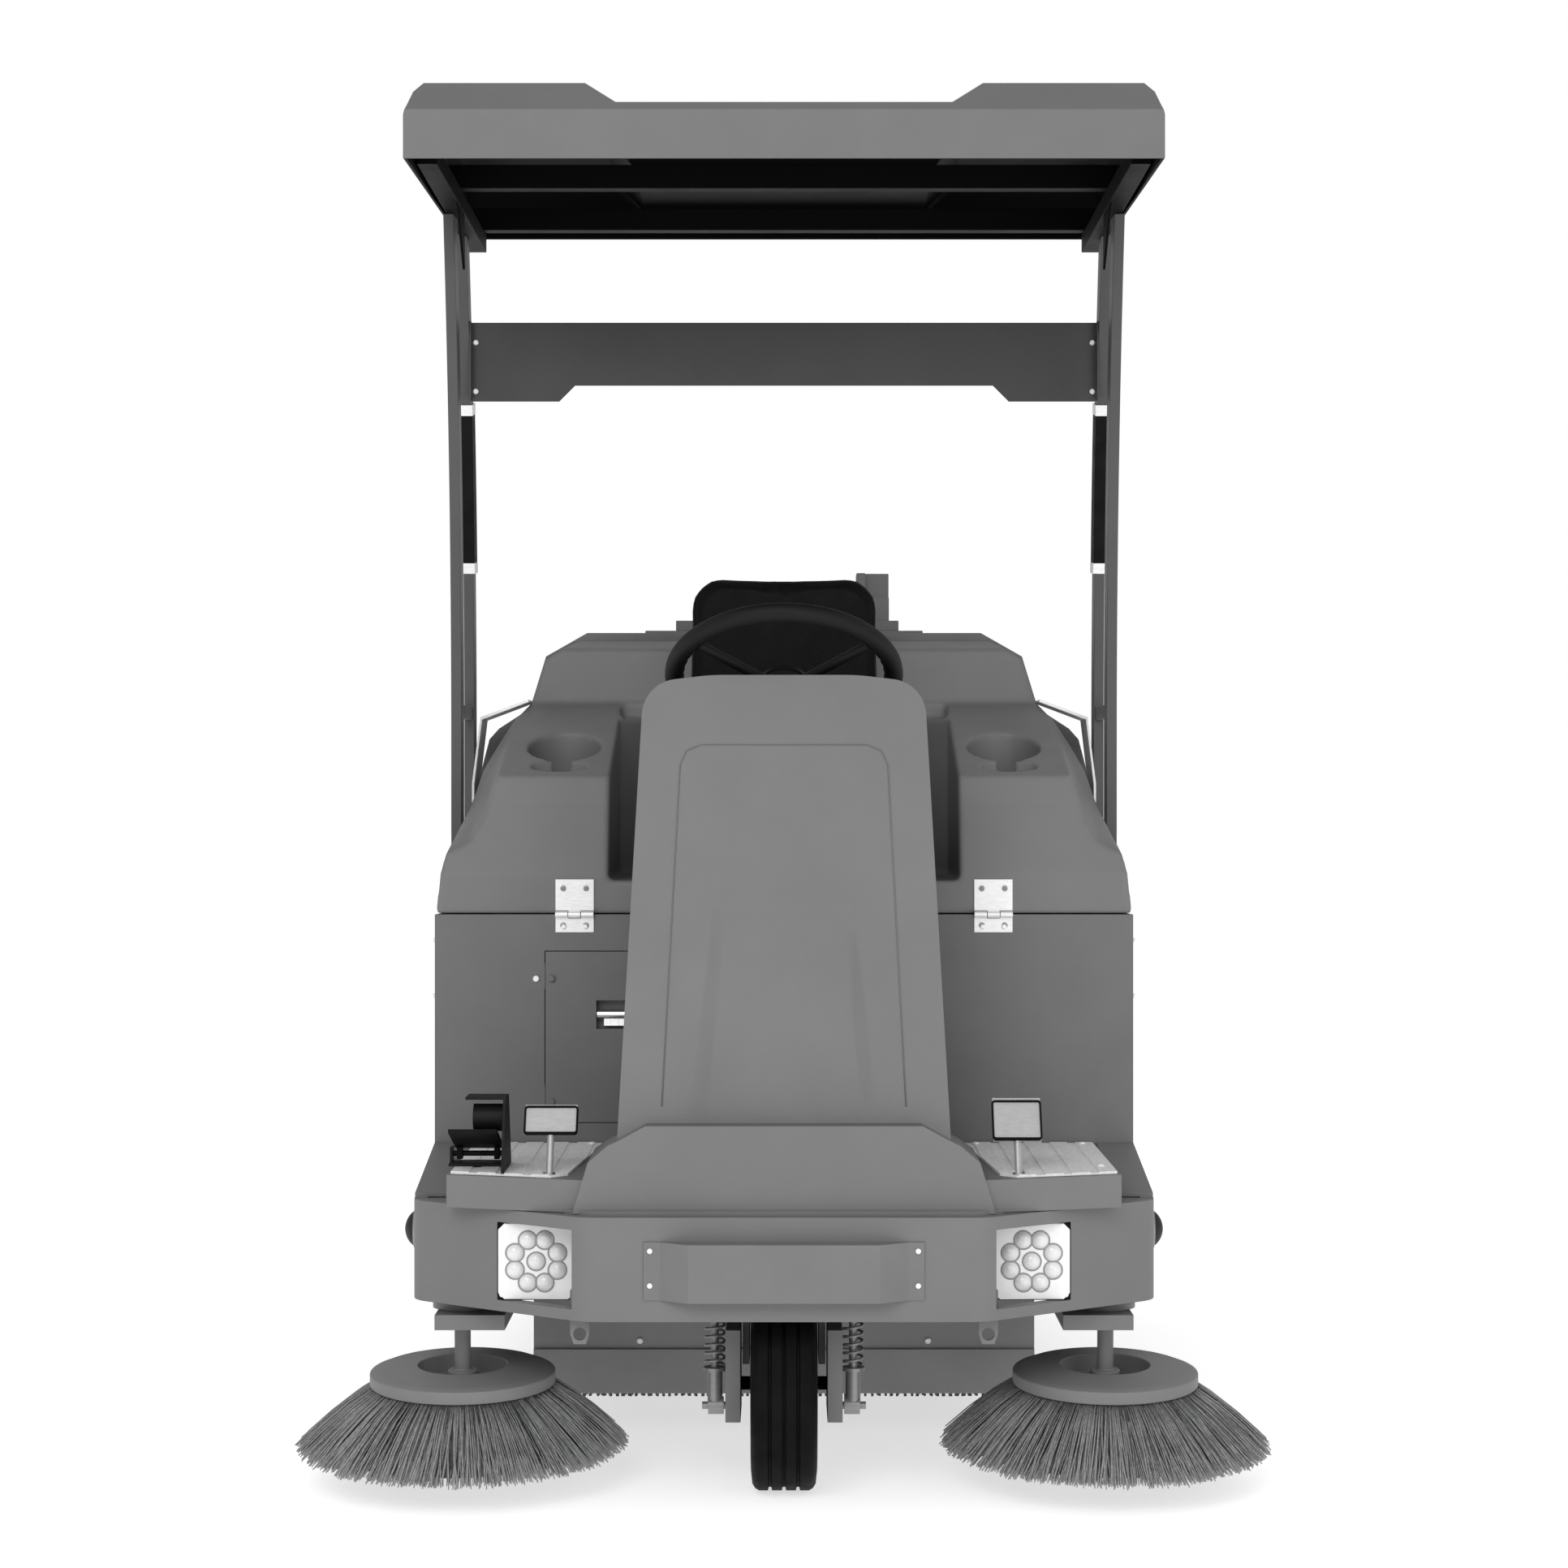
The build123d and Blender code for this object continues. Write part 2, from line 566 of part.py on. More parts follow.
hatch_x, hatch_width, hatch_low, hatch_high = 172.5 - body_half, 222.0, 507.0, 778.0
hatch_gap = 1.5
latch_x, latch_half, latch_z, latch_rise = hatch_x + 119.0, 37.5, 677.5, 22.5


def seat_box():
    """Folded panels: front wall round the hatch, tapering sides and rear wall."""
    low, far = rail_high, hatch_x + hatch_width
    front = [block(-body_half, hatch_x, wall_y, wall_y + sheet, low, box_top),
             block(far, body_half, wall_y, wall_y + sheet, low, box_top),
             block(hatch_x, far, wall_y, wall_y + sheet, low, hatch_low),
             block(hatch_x, far, wall_y, wall_y + sheet, hatch_high, box_top)]
    side = prism_z([(body_half, wall_y + sheet), (waist_half, waist_y), (waist_half - sheet, waist_y),
                    (body_half - sheet, wall_y + sheet)], low, box_top)
    waist = block(waist_half - sheet, waist_half, waist_y, box_rear_y - sheet, low, box_top)
    rear = block(-waist_half, waist_half, box_rear_y - sheet, box_rear_y, low, box_top)
    pins = [rod((hatch_x, wall_y, z), (hatch_x, wall_y, z + 40), hatch_gap - 0.1)
            for z in (hatch_low + 20, hatch_high - 60)]
    strike = [pin - front[0] for pin in pins]
    return front + both(side) + both(waist) + [rear] + strike


def access_door():
    x0, x1 = hatch_x + hatch_gap, hatch_x + hatch_width - hatch_gap
    door = block(x0, x1, wall_y, wall_y + 3, hatch_low + hatch_gap, hatch_high - hatch_gap)
    cup_half, cup_rise, depth = latch_half + 3, latch_rise + 3, 22.0
    cup = block(latch_x - cup_half, latch_x + cup_half, wall_y, wall_y + depth, latch_z - cup_rise, latch_z + cup_rise)
    bowl = block(latch_x - latch_half, latch_x + latch_half, wall_y - 1, wall_y + depth - 3,
                 latch_z - latch_rise, latch_z + latch_rise)
    door = door + cup - bowl
    for z in (734.0, 540.0):
        door += screw(x0 + 10, wall_y, z, 5.5, 5.0, (0, -1, 0))
    return door


def door_latch():
    y = wall_y + 9
    bar = rod((latch_x - latch_half + 1, y, latch_z), (latch_x + latch_half - 1, y, latch_z), 7.0)
    return bar + block(latch_x - 26, latch_x + 26, y - 2, y + 2, latch_z - 18, latch_z)


# ---------------------------------------------------------------- hood, hinges and seat
hood_low = box_top + hood_gap
hood_rear_y = box_rear_y - 10.0
hood_ceiling = 1400.0         # above everything on the hood
shelf_y0, shelf_y1 = wall_y + 50.0, wall_y + 410.0
recess_rear_y = shelf_y1 - 5.0
big_cup, small_cup = (358.0, wall_y + 190.0, 59.0, 68.0), (361.0, wall_y + 96.0, 44.0, 26.0)


def hood_outline():
    """Outer form of the hood with its seat recess and cup holders."""
    front = [(352, 1290), (440, 1253), (452, shelf_front_z), (463, 1016), (472, 977), (495, 942),
             (body_half - 16, 929), (body_half - 9, 905), (body_half - 1, hood_low)]
    rear = [(352, 1290), (408, 1253), (431, shelf_rear_z), (452, 1148), (478, 1108), (503, 1066),
            (waist_half, 1005), (waist_half, 905), (waist_half, hood_low)]
    first = outline([(x, wall_y, z) for x, z in whole(front)])
    last = outline([(x, waist_y, z) for x, z in whole(rear)])
    body = loft([first, last], ruled=True) + prism_y(whole(rear), waist_y, hood_rear_y)
    side = [(wall_y, hood_low), (wall_y, 897), (shelf_y0, shelf_front_z), (shelf_y1, shelf_rear_z),
            (shelf_y1 + 12, 1271), (hood_rear_y, 1290), (hood_rear_y, hood_low)]
    body &= prism_x(side, -body_half, body_half)
    well = block(-recess_half, recess_half, wall_y - 1, recess_rear_y, recess_floor, hood_ceiling)
    for gusset in both(prism_z([(recess_half, recess_rear_y), (recess_half, recess_rear_y - 75),
                                (recess_half - 46, recess_rear_y)], recess_floor, 1150)):
        well -= gusset
    body -= well
    for x, y, half_x, half_y, floor in (big_cup + (1035.0,), small_cup + (1058.0,)):
        for hole in both(extrude(Pos(x, y, floor) * Ellipse(half_x, half_y), amount=200)):
            body -= hole
    return body


def hood():
    """Walls, floor and shelves of the hood, hollow underneath, as plain solids that meet face to face."""
    body = hood_outline()
    inner, outer, rear_half = recess_half + 16, waist_half - 84, waist_half - 124
    lip_y, wall_end, back_y, rear_y = wall_y + 30, wall_y + 40, recess_rear_y + 20, hood_rear_y - 18
    rooms = [block(-recess_half, recess_half, wall_y, lip_y, hood_low, recess_floor),
             block(-recess_half, recess_half, lip_y, recess_rear_y, recess_floor - 18, recess_floor),
             block(-body_half, body_half, recess_rear_y, back_y, hood_low, hood_ceiling),
             block(-body_half, body_half, rear_y, hood_rear_y, hood_low, hood_ceiling),
             block(-rear_half, rear_half, back_y, rear_y, 1240, hood_ceiling)]
    for room in (block(rear_half, body_half, back_y, rear_y, hood_low, hood_ceiling),
                 block(recess_half - 46, recess_half, recess_rear_y - 75, recess_rear_y, recess_floor, 1150),
                 block(recess_half, inner, wall_y, recess_rear_y, hood_low, hood_ceiling),
                 block(inner, body_half, wall_y, wall_end, hood_low, hood_ceiling),
                 block(outer, body_half, wall_end, recess_rear_y, hood_low, hood_ceiling),
                 block(inner, outer, wall_end, recess_rear_y, 1015, hood_ceiling)):
        rooms += both(room)
    return [body & room for room in rooms]


def hinge_leaf(low, high, knuckle_spans):
    """Hinge leaf on the front face with its own knuckles."""
    leaf = block(hinge_x - hinge_half, hinge_x + hinge_half, wall_y - 2, wall_y, low, high)
    for x0, x1 in knuckle_spans:
        a, b = hinge_x + x0, hinge_x + x1
        web = block(a, b, hinge_axis_y, wall_y, hinge_axis_z, hinge_axis_z + (2 if low > hinge_axis_z else -2))
        inward = hinge_axis_z - 2 if high < hinge_axis_z else hinge_axis_z + 2
        link = block(a, b, wall_y - 2, wall_y, *sorted((inward, low if low > hinge_axis_z else high)))
        leaf += rod((a, hinge_axis_y, hinge_axis_z), (b, hinge_axis_y, hinge_axis_z), knuckle_r)
        leaf += link
        leaf += web
    bore = hinge_pin_r + (fit if low > hinge_axis_z else 0)
    return leaf - rod((hinge_x - 40, hinge_axis_y, hinge_axis_z), (hinge_x + 40, hinge_axis_y, hinge_axis_z), bore)


def hood_hinge_lower():
    leaf = hinge_leaf(807, hinge_axis_z - 6, [(-hinge_half, -10.5), (10.5, hinge_half)])
    pin = rod((hinge_x - hinge_half, hinge_axis_y, hinge_axis_z), (hinge_x + hinge_half, hinge_axis_y, hinge_axis_z),
              hinge_pin_r)
    return both(leaf) + both(pin)


def hood_hinge_upper():
    return both(hinge_leaf(hinge_axis_z + 6, 890, [(-9.5, 9.5)]))


def seat_pan():
    pan = block(-165, 165, wall_y + 25, wall_y + 385, recess_floor, recess_floor + 12)
    return pan + block(-100, 100, wall_y + 393, recess_rear_y, recess_floor, 1150)


def seat_cushion():
    pad = block(-seat_half, seat_half, wall_y + 18, wall_y + 325, recess_floor + 12, recess_floor + 102)
    pad = fillet(pad.edges().filter_by(Axis.Z), 50)
    return fillet(pad.edges().group_by(Axis.Z)[-1], 25)


def seat_back():
    view = [(seat_back_half + 12, recess_floor + 20), (seat_back_half, seat_back_top)]
    pad = prism_y(whole(view), wall_y + 330, wall_y + 392, [25, 55, 55, 25])
    return fillet(pad.edges().group_by(Axis.Y)[0], 20)


def side_guards():
    """Bent straps outside the shelves."""
    outer = [(433, 1183), (514, 1153), (waist_half + 4, 1041), (waist_half + 4, 985)]
    inner = [(waist_half, 985), (waist_half, 1040), (511, 1149), (431.5, 1179)]
    return both(prism_y(outer + inner, wall_y + 370, wall_y + 470))


# ---------------------------------------------------------------- canopy
def lean_radius(lean):
    """Radius of the arc that carries an upright forward by lean at its top."""
    rise = upright_top - upright_bend
    return (rise ** 2 + lean ** 2) / (2 * lean)


def upright_bar(x0, x1, y, lean, low, high, half_depth):
    """Length of an upright's bar, straight up to the bend and then on its arc."""
    radius = lean_radius(lean)

    def point(side, angle):
        return x0, y - radius + (radius + side) * math.cos(angle), upright_bend + (radius + side) * math.sin(angle)

    start = math.asin(max(0.0, low - upright_bend) / radius)
    end = math.asin((high - upright_bend) / radius)
    front, back = [ThreePointArc(point(side, start), point(side, (start + end) / 2), point(side, end))
                   for side in (-half_depth, half_depth)]
    edges = [front, back, Line(front @ 1, back @ 1)]
    if low < upright_bend:
        foot = [(x0, y - half_depth, low), (x0, y + half_depth, low)]
        edges += [Line(front @ 0, foot[0]), Line(foot[0], foot[1]), Line(foot[1], back @ 0)]
    else:
        edges.append(Line(front @ 0, back @ 0))
    return extrude(make_face(edges), amount=x1 - x0, dir=(1, 0, 0))


front_bar = (front_upright_y, front_upright_lean)
rear_bar = (rear_upright_y, rear_upright_lean)
grip_low, grip_high, collar = upright_top - 539.0, upright_top - 289.0, 18.0
panel_low, panel_high = upright_top - 243.0, upright_top - 136.0


def upright():
    """Right side frame: two uprights with a rung, and their feet on the seat box."""
    x0, x1, half = upright_x, upright_x + upright_thickness, upright_depth / 2
    room = block(x0, x1, wall_y, rear_cover_y, upright_foot, upright_top)
    frame = [upright_bar(x0, x1, *bar, upright_foot, upright_top + 20, half) & room for bar in (front_bar, rear_bar)]
    frame.append(block(x0 + 2, x1 - 2, front_upright_y + half, rear_upright_y - half, 1150, 1172))
    for y in (front_upright_y, rear_upright_y):
        for z in (upright_foot + 40, upright_foot + 180):
            frame.append(rod((side_half(y - 11), y, z), (x0, y, z), 11))
    return frame


def grip_parts(low, high, grow):
    """Sleeve round the rear upright."""
    x0, x1 = upright_x, upright_x + upright_thickness
    outer = upright_bar(x0 - grow, x1 + grow, *rear_bar, low, high, upright_depth / 2 + grow)
    return both(outer - upright_bar(x0, x1, *rear_bar, low - 5, high + 5, upright_depth / 2))


def grip_sleeves():
    return grip_parts(grip_low, grip_high, 2.5)


def grip_bands():
    return grip_parts(grip_low - collar, grip_low, 3.2) + grip_parts(grip_high, grip_high + collar, 3.2)


panel_y = rear_upright_y - 85.0


def cross_panel():
    end, high, low, drop = upright_x - 3.0, panel_high, panel_low, 27.0
    view = [(355, low), (355 + drop, low - drop), (end, low - drop), (end, high)]
    panel = prism_y(whole(view), panel_y - 3, panel_y)
    panel += block(-end, end, panel_y, panel_y + 25, high - 3, high)
    for flange in both(block(end, upright_x, panel_y - 22, panel_y + 25, low - drop + 4, high)):
        panel += flange
    return panel


roof_rail_low, roof_rail_high = upright_top, upright_top + 30.0


def canopy_rails():
    """Roof rails on the uprights, with the hat sections across them."""
    x0, x1 = upright_x - 18.0, upright_x + 12.0
    rails = both(block(x0, x1, roof_front_y + 110, roof_rear_y - 60, roof_rail_low, roof_rail_high))
    top = roof_height - 37.5 - skin
    bars = [block(10 - x1, x1 - 10, y, y + 30, roof_rail_high, top)
            for y in (roof_front_y + 130, roof_front_y + 450, roof_rear_y - 110)]
    gussets = both(prism_x([(front_upright_y - 240, roof_rail_low), (front_upright_y - 145, roof_rail_low),
                            (front_upright_y - 137, roof_rail_low - 90)], x0, x0 + 4))
    return rails + bars + gussets


def roof_block(inset):
    """Solid under the roof's skin: two high side lobes with a lower middle."""
    def section(half, lip, y):
        top = roof_height - inset
        view = [(245 - inset, top - 37.5), (292 - inset, top), (half - 24 - inset, top),
                (half - 10 - inset, top - 18), (half - inset, top - 60), (half - inset, lip - inset)]
        return outline([(x, y, z) for x, z in whole(view)])

    body = loft([section(roof_half_front, roof_lip_front, roof_front_y + inset),
                 section(roof_half_rear, roof_lip_rear, roof_rear_y - inset)], ruled=True)
    front, rear = roof_front_y + inset, roof_rear_y - inset
    low, top = roof_lip_front - 20, roof_height - inset
    side = [(front, low), (front, top - 52), (front + 12, top - 44), (front + 64, top), (rear - 50, top),
            (rear, top - 40), (rear, low)]
    return body & prism_x(side, -roof_half_rear, roof_half_rear)


def canopy_roof():
    return roof_block(0) - roof_block(skin)


# ---------------------------------------------------------------- pedals
def foot_pedal(side, pad_half_x, pad_half_z):
    """Floor pedal on an arm that comes up through its slot; side is 1 right, -1 left."""
    x = side * pedal_x
    pivot, top = (x, pedal_pivot_y, pedal_pivot_z), (x, pedal_slot_y + 33, 540)
    arm = rod(pivot, top, 5)
    arm += rod((x - 16, *pivot[1:]), (x + 16, *pivot[1:]), 8)
    pad = Box(2 * pad_half_x, 10, 2 * pad_half_z)
    arm += Pos(x, pedal_slot_y + 38, 549) * Rot(X=-32) * pad
    return arm - rod((x - 20, *pivot[1:]), (x + 20, *pivot[1:]), pedal_pin_r + fit)


accelerator_x, heel_y, heel_z = body_half - 100.0, wall_y - 285.0, floor_top + 16.0


def accelerator_bracket():
    """Side plate, base and heel pin of the accelerator, with its sensor."""
    inner = -accelerator_x + 40
    plate = prism_x([(heel_y + 20, floor_top), (heel_y - 110, floor_top), (heel_y - 70, 584), (heel_y - 20, 584)],
                    inner, inner + 4)
    flange = block(inner - 55, inner, heel_y - 70, heel_y - 20, 580, 584)
    base = block(inner - 84, inner, heel_y - 30, heel_y + 20, floor_top, floor_top + 4)
    ear = block(inner - 84, inner - 80, heel_y - 12, heel_y + 12, floor_top + 4, heel_z + 10)
    pin = rod((inner - 84, heel_y, heel_z), (inner + 4, heel_y, heel_z), 4)
    sensor = rod((inner - 45, heel_y - 45, 552), (inner, heel_y - 45, 552), 20)
    return plate + flange + base + ear + pin + sensor


def accelerator_pedal():
    """Treadle that hinges at the driver's heel."""
    x0, x1 = -accelerator_x - 38, -accelerator_x + 37
    angle = math.radians(18)
    plate = prism_x([(heel_y + 12, heel_z + 6), (heel_y - 92, heel_z + 6 + 104 * math.tan(angle)),
                     (heel_y - 92, heel_z + 12 + 104 * math.tan(angle)), (heel_y + 12, heel_z + 12)], x0, x1 - 4)
    for x in (x0 + 4, x1 - 16):
        plate += prism_x([(heel_y - 9, heel_z - 8), (heel_y + 9, heel_z - 8), (heel_y + 9, heel_z + 8),
                          (heel_y - 9, heel_z + 10)], x, x + 8)
    return plate - rod((x0 - 5, heel_y, heel_z), (x1 + 5, heel_y, heel_z), 4 + fit)


# ---------------------------------------------------------------- side brushes
brush_plane = Plane(origin=(side_brush_x, side_brush_y, side_brush_z), x_dir=(1, 0, 0),
                    z_dir=(0, -math.sin(math.radians(side_brush_lean)), math.cos(math.radians(side_brush_lean))))
motor_low = 181.0             # motor's underside above the bristle tips


def side_brush_arm():
    """Arm with the motor's bracket and motor at its end."""
    y0, y1 = side_brush_y - 80, side_brush_y + 80
    bracket = block(side_brush_x - 69, side_brush_x + 34, y0, y1, 240, 262)
    arm = prism_x([(y1 - 20, 262), (arm_pivot_y - 14, arm_pivot_z - 14), (arm_pivot_y, arm_pivot_z - 14),
                   (arm_pivot_y, arm_pivot_z + 12), (y1 - 10, 284), (y0 + 60, 284), (y0 + 60, 262)],
                  side_brush_x - 14, side_brush_x + 14)
    arm += rod((side_brush_x - 16, arm_pivot_y, arm_pivot_z), (side_brush_x + 16, arm_pivot_y, arm_pivot_z), 14)
    arm += bracket
    arm += rod((side_brush_x, side_brush_y, 262), (side_brush_x, side_brush_y, 345), 45)
    arm += brush_plane * Pos(0, 0, motor_low + 15) * Cylinder(32, 30)
    arm -= rod((side_brush_x - 20, arm_pivot_y, arm_pivot_z), (side_brush_x + 20, arm_pivot_y, arm_pivot_z),
               arm_pin_r + fit)
    return arm


def turned(points):
    """Solid of revolution from an (r, z) outline, standing on the brush's own axis."""
    face = make_face(Polyline(*[(r, 0, z) for r, z in points], close=True))
    return brush_plane * revolve(face, axis=Axis.Z)


def side_brush_disc():
    """Open disc with its rim band, sunken hub plate and drive shaft."""
    top, hole = side_disc_rise, side_disc_hole_r
    rim = turned([(hole, top - 6), (hole, top), (122, top - 4), (side_disc_r, top - 10), (side_disc_r, top - 28),
                  (side_disc_r - 6, top - 28), (side_disc_r - 6, top - 12), (120, top - 10)])
    plate = turned([(0, top - 34), (hole + 6, top - 34), (hole + 6, top - 6), (hole, top - 6), (hole, top - 28),
                    (0, top - 28)])
    shaft = turned([(0, top - 28), (22, top - 28), (22, top - 8), (12, top - 8), (12, motor_low - play),
                    (0, motor_low - play)])
    return [rim, plate, shaft]


def side_bristles():
    """Flared ring of bristles, drawn as one tapered ring."""
    top = side_disc_rise - 28
    view = [(side_disc_r, top), (side_brush_r, 0), (side_brush_r - 38, 0), (side_disc_r - 40, top)]
    return turned(view)


# ---------------------------------------------------------------- main broom and its housing
def broom_housing():
    front_y, rear_y, side_x = broom_y - 200, broom_y + 182, broom_half + 12
    top = rail_low - 2
    shaft = rod((-side_x - 9, broom_y, broom_z), (side_x + 9, broom_y, broom_z), broom_shaft_r + fit)
    side = block(side_x, side_x + sheet, front_y, rear_y, 40, top - sheet) - shaft
    return both(side) + [block(-side_x - sheet, side_x + sheet, front_y, rear_y, top - sheet, top),
                         block(-side_x - 35, side_x + 35, front_y - sheet, front_y, 112, top),
                         block(-side_x, side_x, rear_y - sheet, rear_y, 210, top - sheet)]


def skirt_flaps():
    """Rubber flap bolted in front of the housing."""
    face_y = broom_y - 200 - sheet
    return block(-broom_half - 47, broom_half + 47, face_y - 5, face_y, 50, 122)


def main_broom():
    core = rod((-broom_half, broom_y, broom_z), (broom_half, broom_y, broom_z), broom_core_r)
    core += rod((-broom_half - 16, broom_y, broom_z), (broom_half + 16, broom_y, broom_z), broom_shaft_r)
    tufts = rod((-broom_half + 5, broom_y, broom_z), (broom_half - 5, broom_y, broom_z), broom_r)
    return core, tufts - rod((-broom_half, broom_y, broom_z), (broom_half, broom_y, broom_z), broom_core_r)


# ---------------------------------------------------------------- rear cover, hopper and what they hold
def cover_block(inset):
    """Solid inside the rear cover's outline."""
    view = [(waist_half + 14, 250), (waist_half + 14, 1030), (waist_half - 9, 1118), (waist_half - 26, 1137),
            (444, 1172), (416, 1263), (344, 1304)]
    view = [(x - inset, z - (inset if z > 1000 else 0)) for x, z in view]
    side = [(rear_cover_y + inset, 249), (rear_cover_y + inset, 1304 - inset), (rear_cover_y + 420, 1304 - inset),
            (rear_end - 130 - inset, 1150), (rear_end - 40 - inset, 700), (rear_end - 40 - inset, 249)]
    return prism_y(whole(view), rear_cover_y, rear_end) & prism_x(side, -body_half, body_half)


def rear_cover():
    cover = cover_block(0) - cover_block(skin)
    cover -= block(-waist_half - 9, waist_half + 9, rear_cover_y - 1, rear_cover_y + skin + 1, 240, 560)
    cover -= block(-hopper_half - 24, hopper_half + 24, rear_end - 60, rear_end, 240, hopper_high + 25)
    cover -= rod((-body_half, rear_axle_y, rear_wheel_r), (body_half, rear_axle_y, rear_wheel_r), 205)
    return cover


def rear_top_box():
    tray = [block(-255, 255, rear_cover_y + 280, rear_cover_y + 410, 1304, 1322),
            block(-199, 211, rear_cover_y + 290, rear_cover_y + 400, 1322, 1341)]
    box = block(134, 194, rear_cover_y + 310, rear_cover_y + 370, 1341, 1430)
    return [tray, box - block(150, 200, rear_cover_y + 305, rear_cover_y + 330, 1385, 1431)]


def filter_unit():
    """Panel filter in its frame, with the suction fan on top."""
    y0, y1 = hopper_y, hopper_y + 380
    panel = block(-300, 300, y0, y1, 620, 720)
    return [panel, rod((0, (y0 + y1) / 2, 720), (0, (y0 + y1) / 2, 830), 120)]


def battery_pack():
    top, low = rail_high + 6 + 270, rail_high + 6
    cells = []
    for y in (wall_y + 40, wall_y + 236):
        cell = block(5, 248, y, y + 186, low, top)
        cell += Pos(60, y + 40, top + 8) * Cylinder(9, 16) + Pos(200, y + 40, top + 8) * Cylinder(9, 16)
        cells += both(cell)
    return cells


def controller():
    y = box_rear_y - sheet
    return block(280, 480, y - 90, y, 500, 760)


def hopper():
    """Debris bin open at its front and top, with flanges on the runners and a handle."""
    half, rear = hopper_half, rear_end - 40
    bin_panels = both(block(half - sheet, half, hopper_y, rear, hopper_low, hopper_high))
    bin_panels.append(block(-half + sheet, half - sheet, hopper_y, rear, hopper_low, hopper_low + sheet))
    bin_panels.append(block(-half - 14, half + 14, rear, rear + 8, hopper_low, hopper_high + 20))
    bin_panels += both(block(half, half + 18, hopper_y + 10, rear, rail_low + 21, rail_low + 25))
    handle = rod((-110, rear + 32, 400), (110, rear + 32, 400), 8)
    for x in (-100, 100):
        handle += rod((x, rear + 8, 400), (x, rear + 32, 400), 6)
    return bin_panels + [handle]


# ---------------------------------------------------------------- screws
def body_screws():
    """Screw heads on the bumper plate, seat box, hinges, cross panel and skirt."""
    forward = (0, -1, 0)
    heads = []
    for z in (379, 330):
        heads += both(screw(190, bumper_y - 2.5, z, 4, 3, forward))
    for dx in (-17, 17):
        heads += both(screw(hinge_x + dx, wall_y - 2, 816, 4, 2.5, forward))
    for z in (panel_high - 34, panel_low - 10):
        heads += both(screw(upright_x - 9, panel_y - 3, z, 5, 4, forward))
    for z in (135, 190, 240):
        heads += both(screw(234, broom_y - 200 - sheet, z, 5, 4, forward))
    for z in (793, 705):
        heads += both(screw(side_half(wall_y + 26), wall_y + 30, z, 3.5, 8, (1, 0, 0)))
    heads.append(screw(hatch_x - 13, wall_y, 734, 5, 3, forward))
    return heads


right_arm, right_disc, right_bristles = side_brush_arm(), side_brush_disc(), side_bristles()
right_tyre, right_rim = rear_wheel()
nodes = {
    "chassis_frame": chassis_frame(),
    "front_bumper": front_bumper(),
    "headlight_plates": headlight_plates(),
    "headlight_leds": headlight_leds(),
    "bumper_plate": bumper_plate(),
    "side_markers": side_markers(),
    "tow_eyes": tow_eyes(),
    "front_cowl": front_cowl(),
    "step_treads": step_treads(),
    "steering_console": console(),
    "dashboard": dashboard(),
    "steering_bearings": steering_bearings(),
    "steering_wheel_rim": steering_wheel_rim(),
    "steering_wheel_hub": steering_wheel_hub(),
    "steering_shaft": steering_shaft(),
    "key_switch": key_switch(),
    "emergency_stop": emergency_stop(),
    "fork_crown": fork_crown(),
    "fork_blades": fork_blades(),
    "shock_absorbers": shock_absorbers(),
    "suspension_springs": suspension_springs(),
    "front_hub": front_hub(),
    "front_tyre": front_tyre(),
    "rear_wheel_right": [right_tyre, right_rim],
    "rear_wheel_left": [mirror(right_tyre, about=Plane.YZ), mirror(right_rim, about=Plane.YZ)],
    "seat_box": seat_box(),
    "access_door": access_door(),
    "door_latch": door_latch(),
    "hood": [hood(), seat_pan()],
    "hood_hinge_lower": hood_hinge_lower(),
    "hood_hinge_upper": hood_hinge_upper(),
    "seat_cushion": seat_cushion(),
    "seat_back": seat_back(),
    "side_guards": side_guards(),
    "upright_right": upright(),
    "upright_left": [mirror(piece, about=Plane.YZ) for piece in upright()],
    "grip_sleeves": grip_sleeves(),
    "grip_bands": grip_bands(),
    "cross_panel": cross_panel(),
    "canopy_rails": canopy_rails(),
    "canopy_roof": canopy_roof(),
    "brake_pedal": foot_pedal(-1, 38, 22),
    "parking_pedal": foot_pedal(1, 35, 33),
    "accelerator_bracket": accelerator_bracket(),
    "accelerator_pedal": accelerator_pedal(),
    "brush_arm_right": right_arm,
    "brush_arm_left": mirror(right_arm, about=Plane.YZ),
    "brush_disc_right": right_disc,
    "brush_disc_left": [mirror(piece, about=Plane.YZ) for piece in right_disc],
    "bristles_right": right_bristles,
    "bristles_left": mirror(right_bristles, about=Plane.YZ),
    "broom_housing": broom_housing(),
    "skirt_flaps": skirt_flaps(),
    "main_broom": main_broom(),
    "rear_cover": rear_cover(),
    "rear_top_box": rear_top_box(),
    "filter_unit": filter_unit(),
    "power_pack": [battery_pack(), controller()],
    "hopper": hopper(),
    "body_screws": body_screws(),
}
for node, shapes in nodes.items():
    save(node, shapes)
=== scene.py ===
import json
import math
import random

import bmesh
import bpy
from mathutils import Matrix, Vector
from mathutils.bvhtree import BVHTree


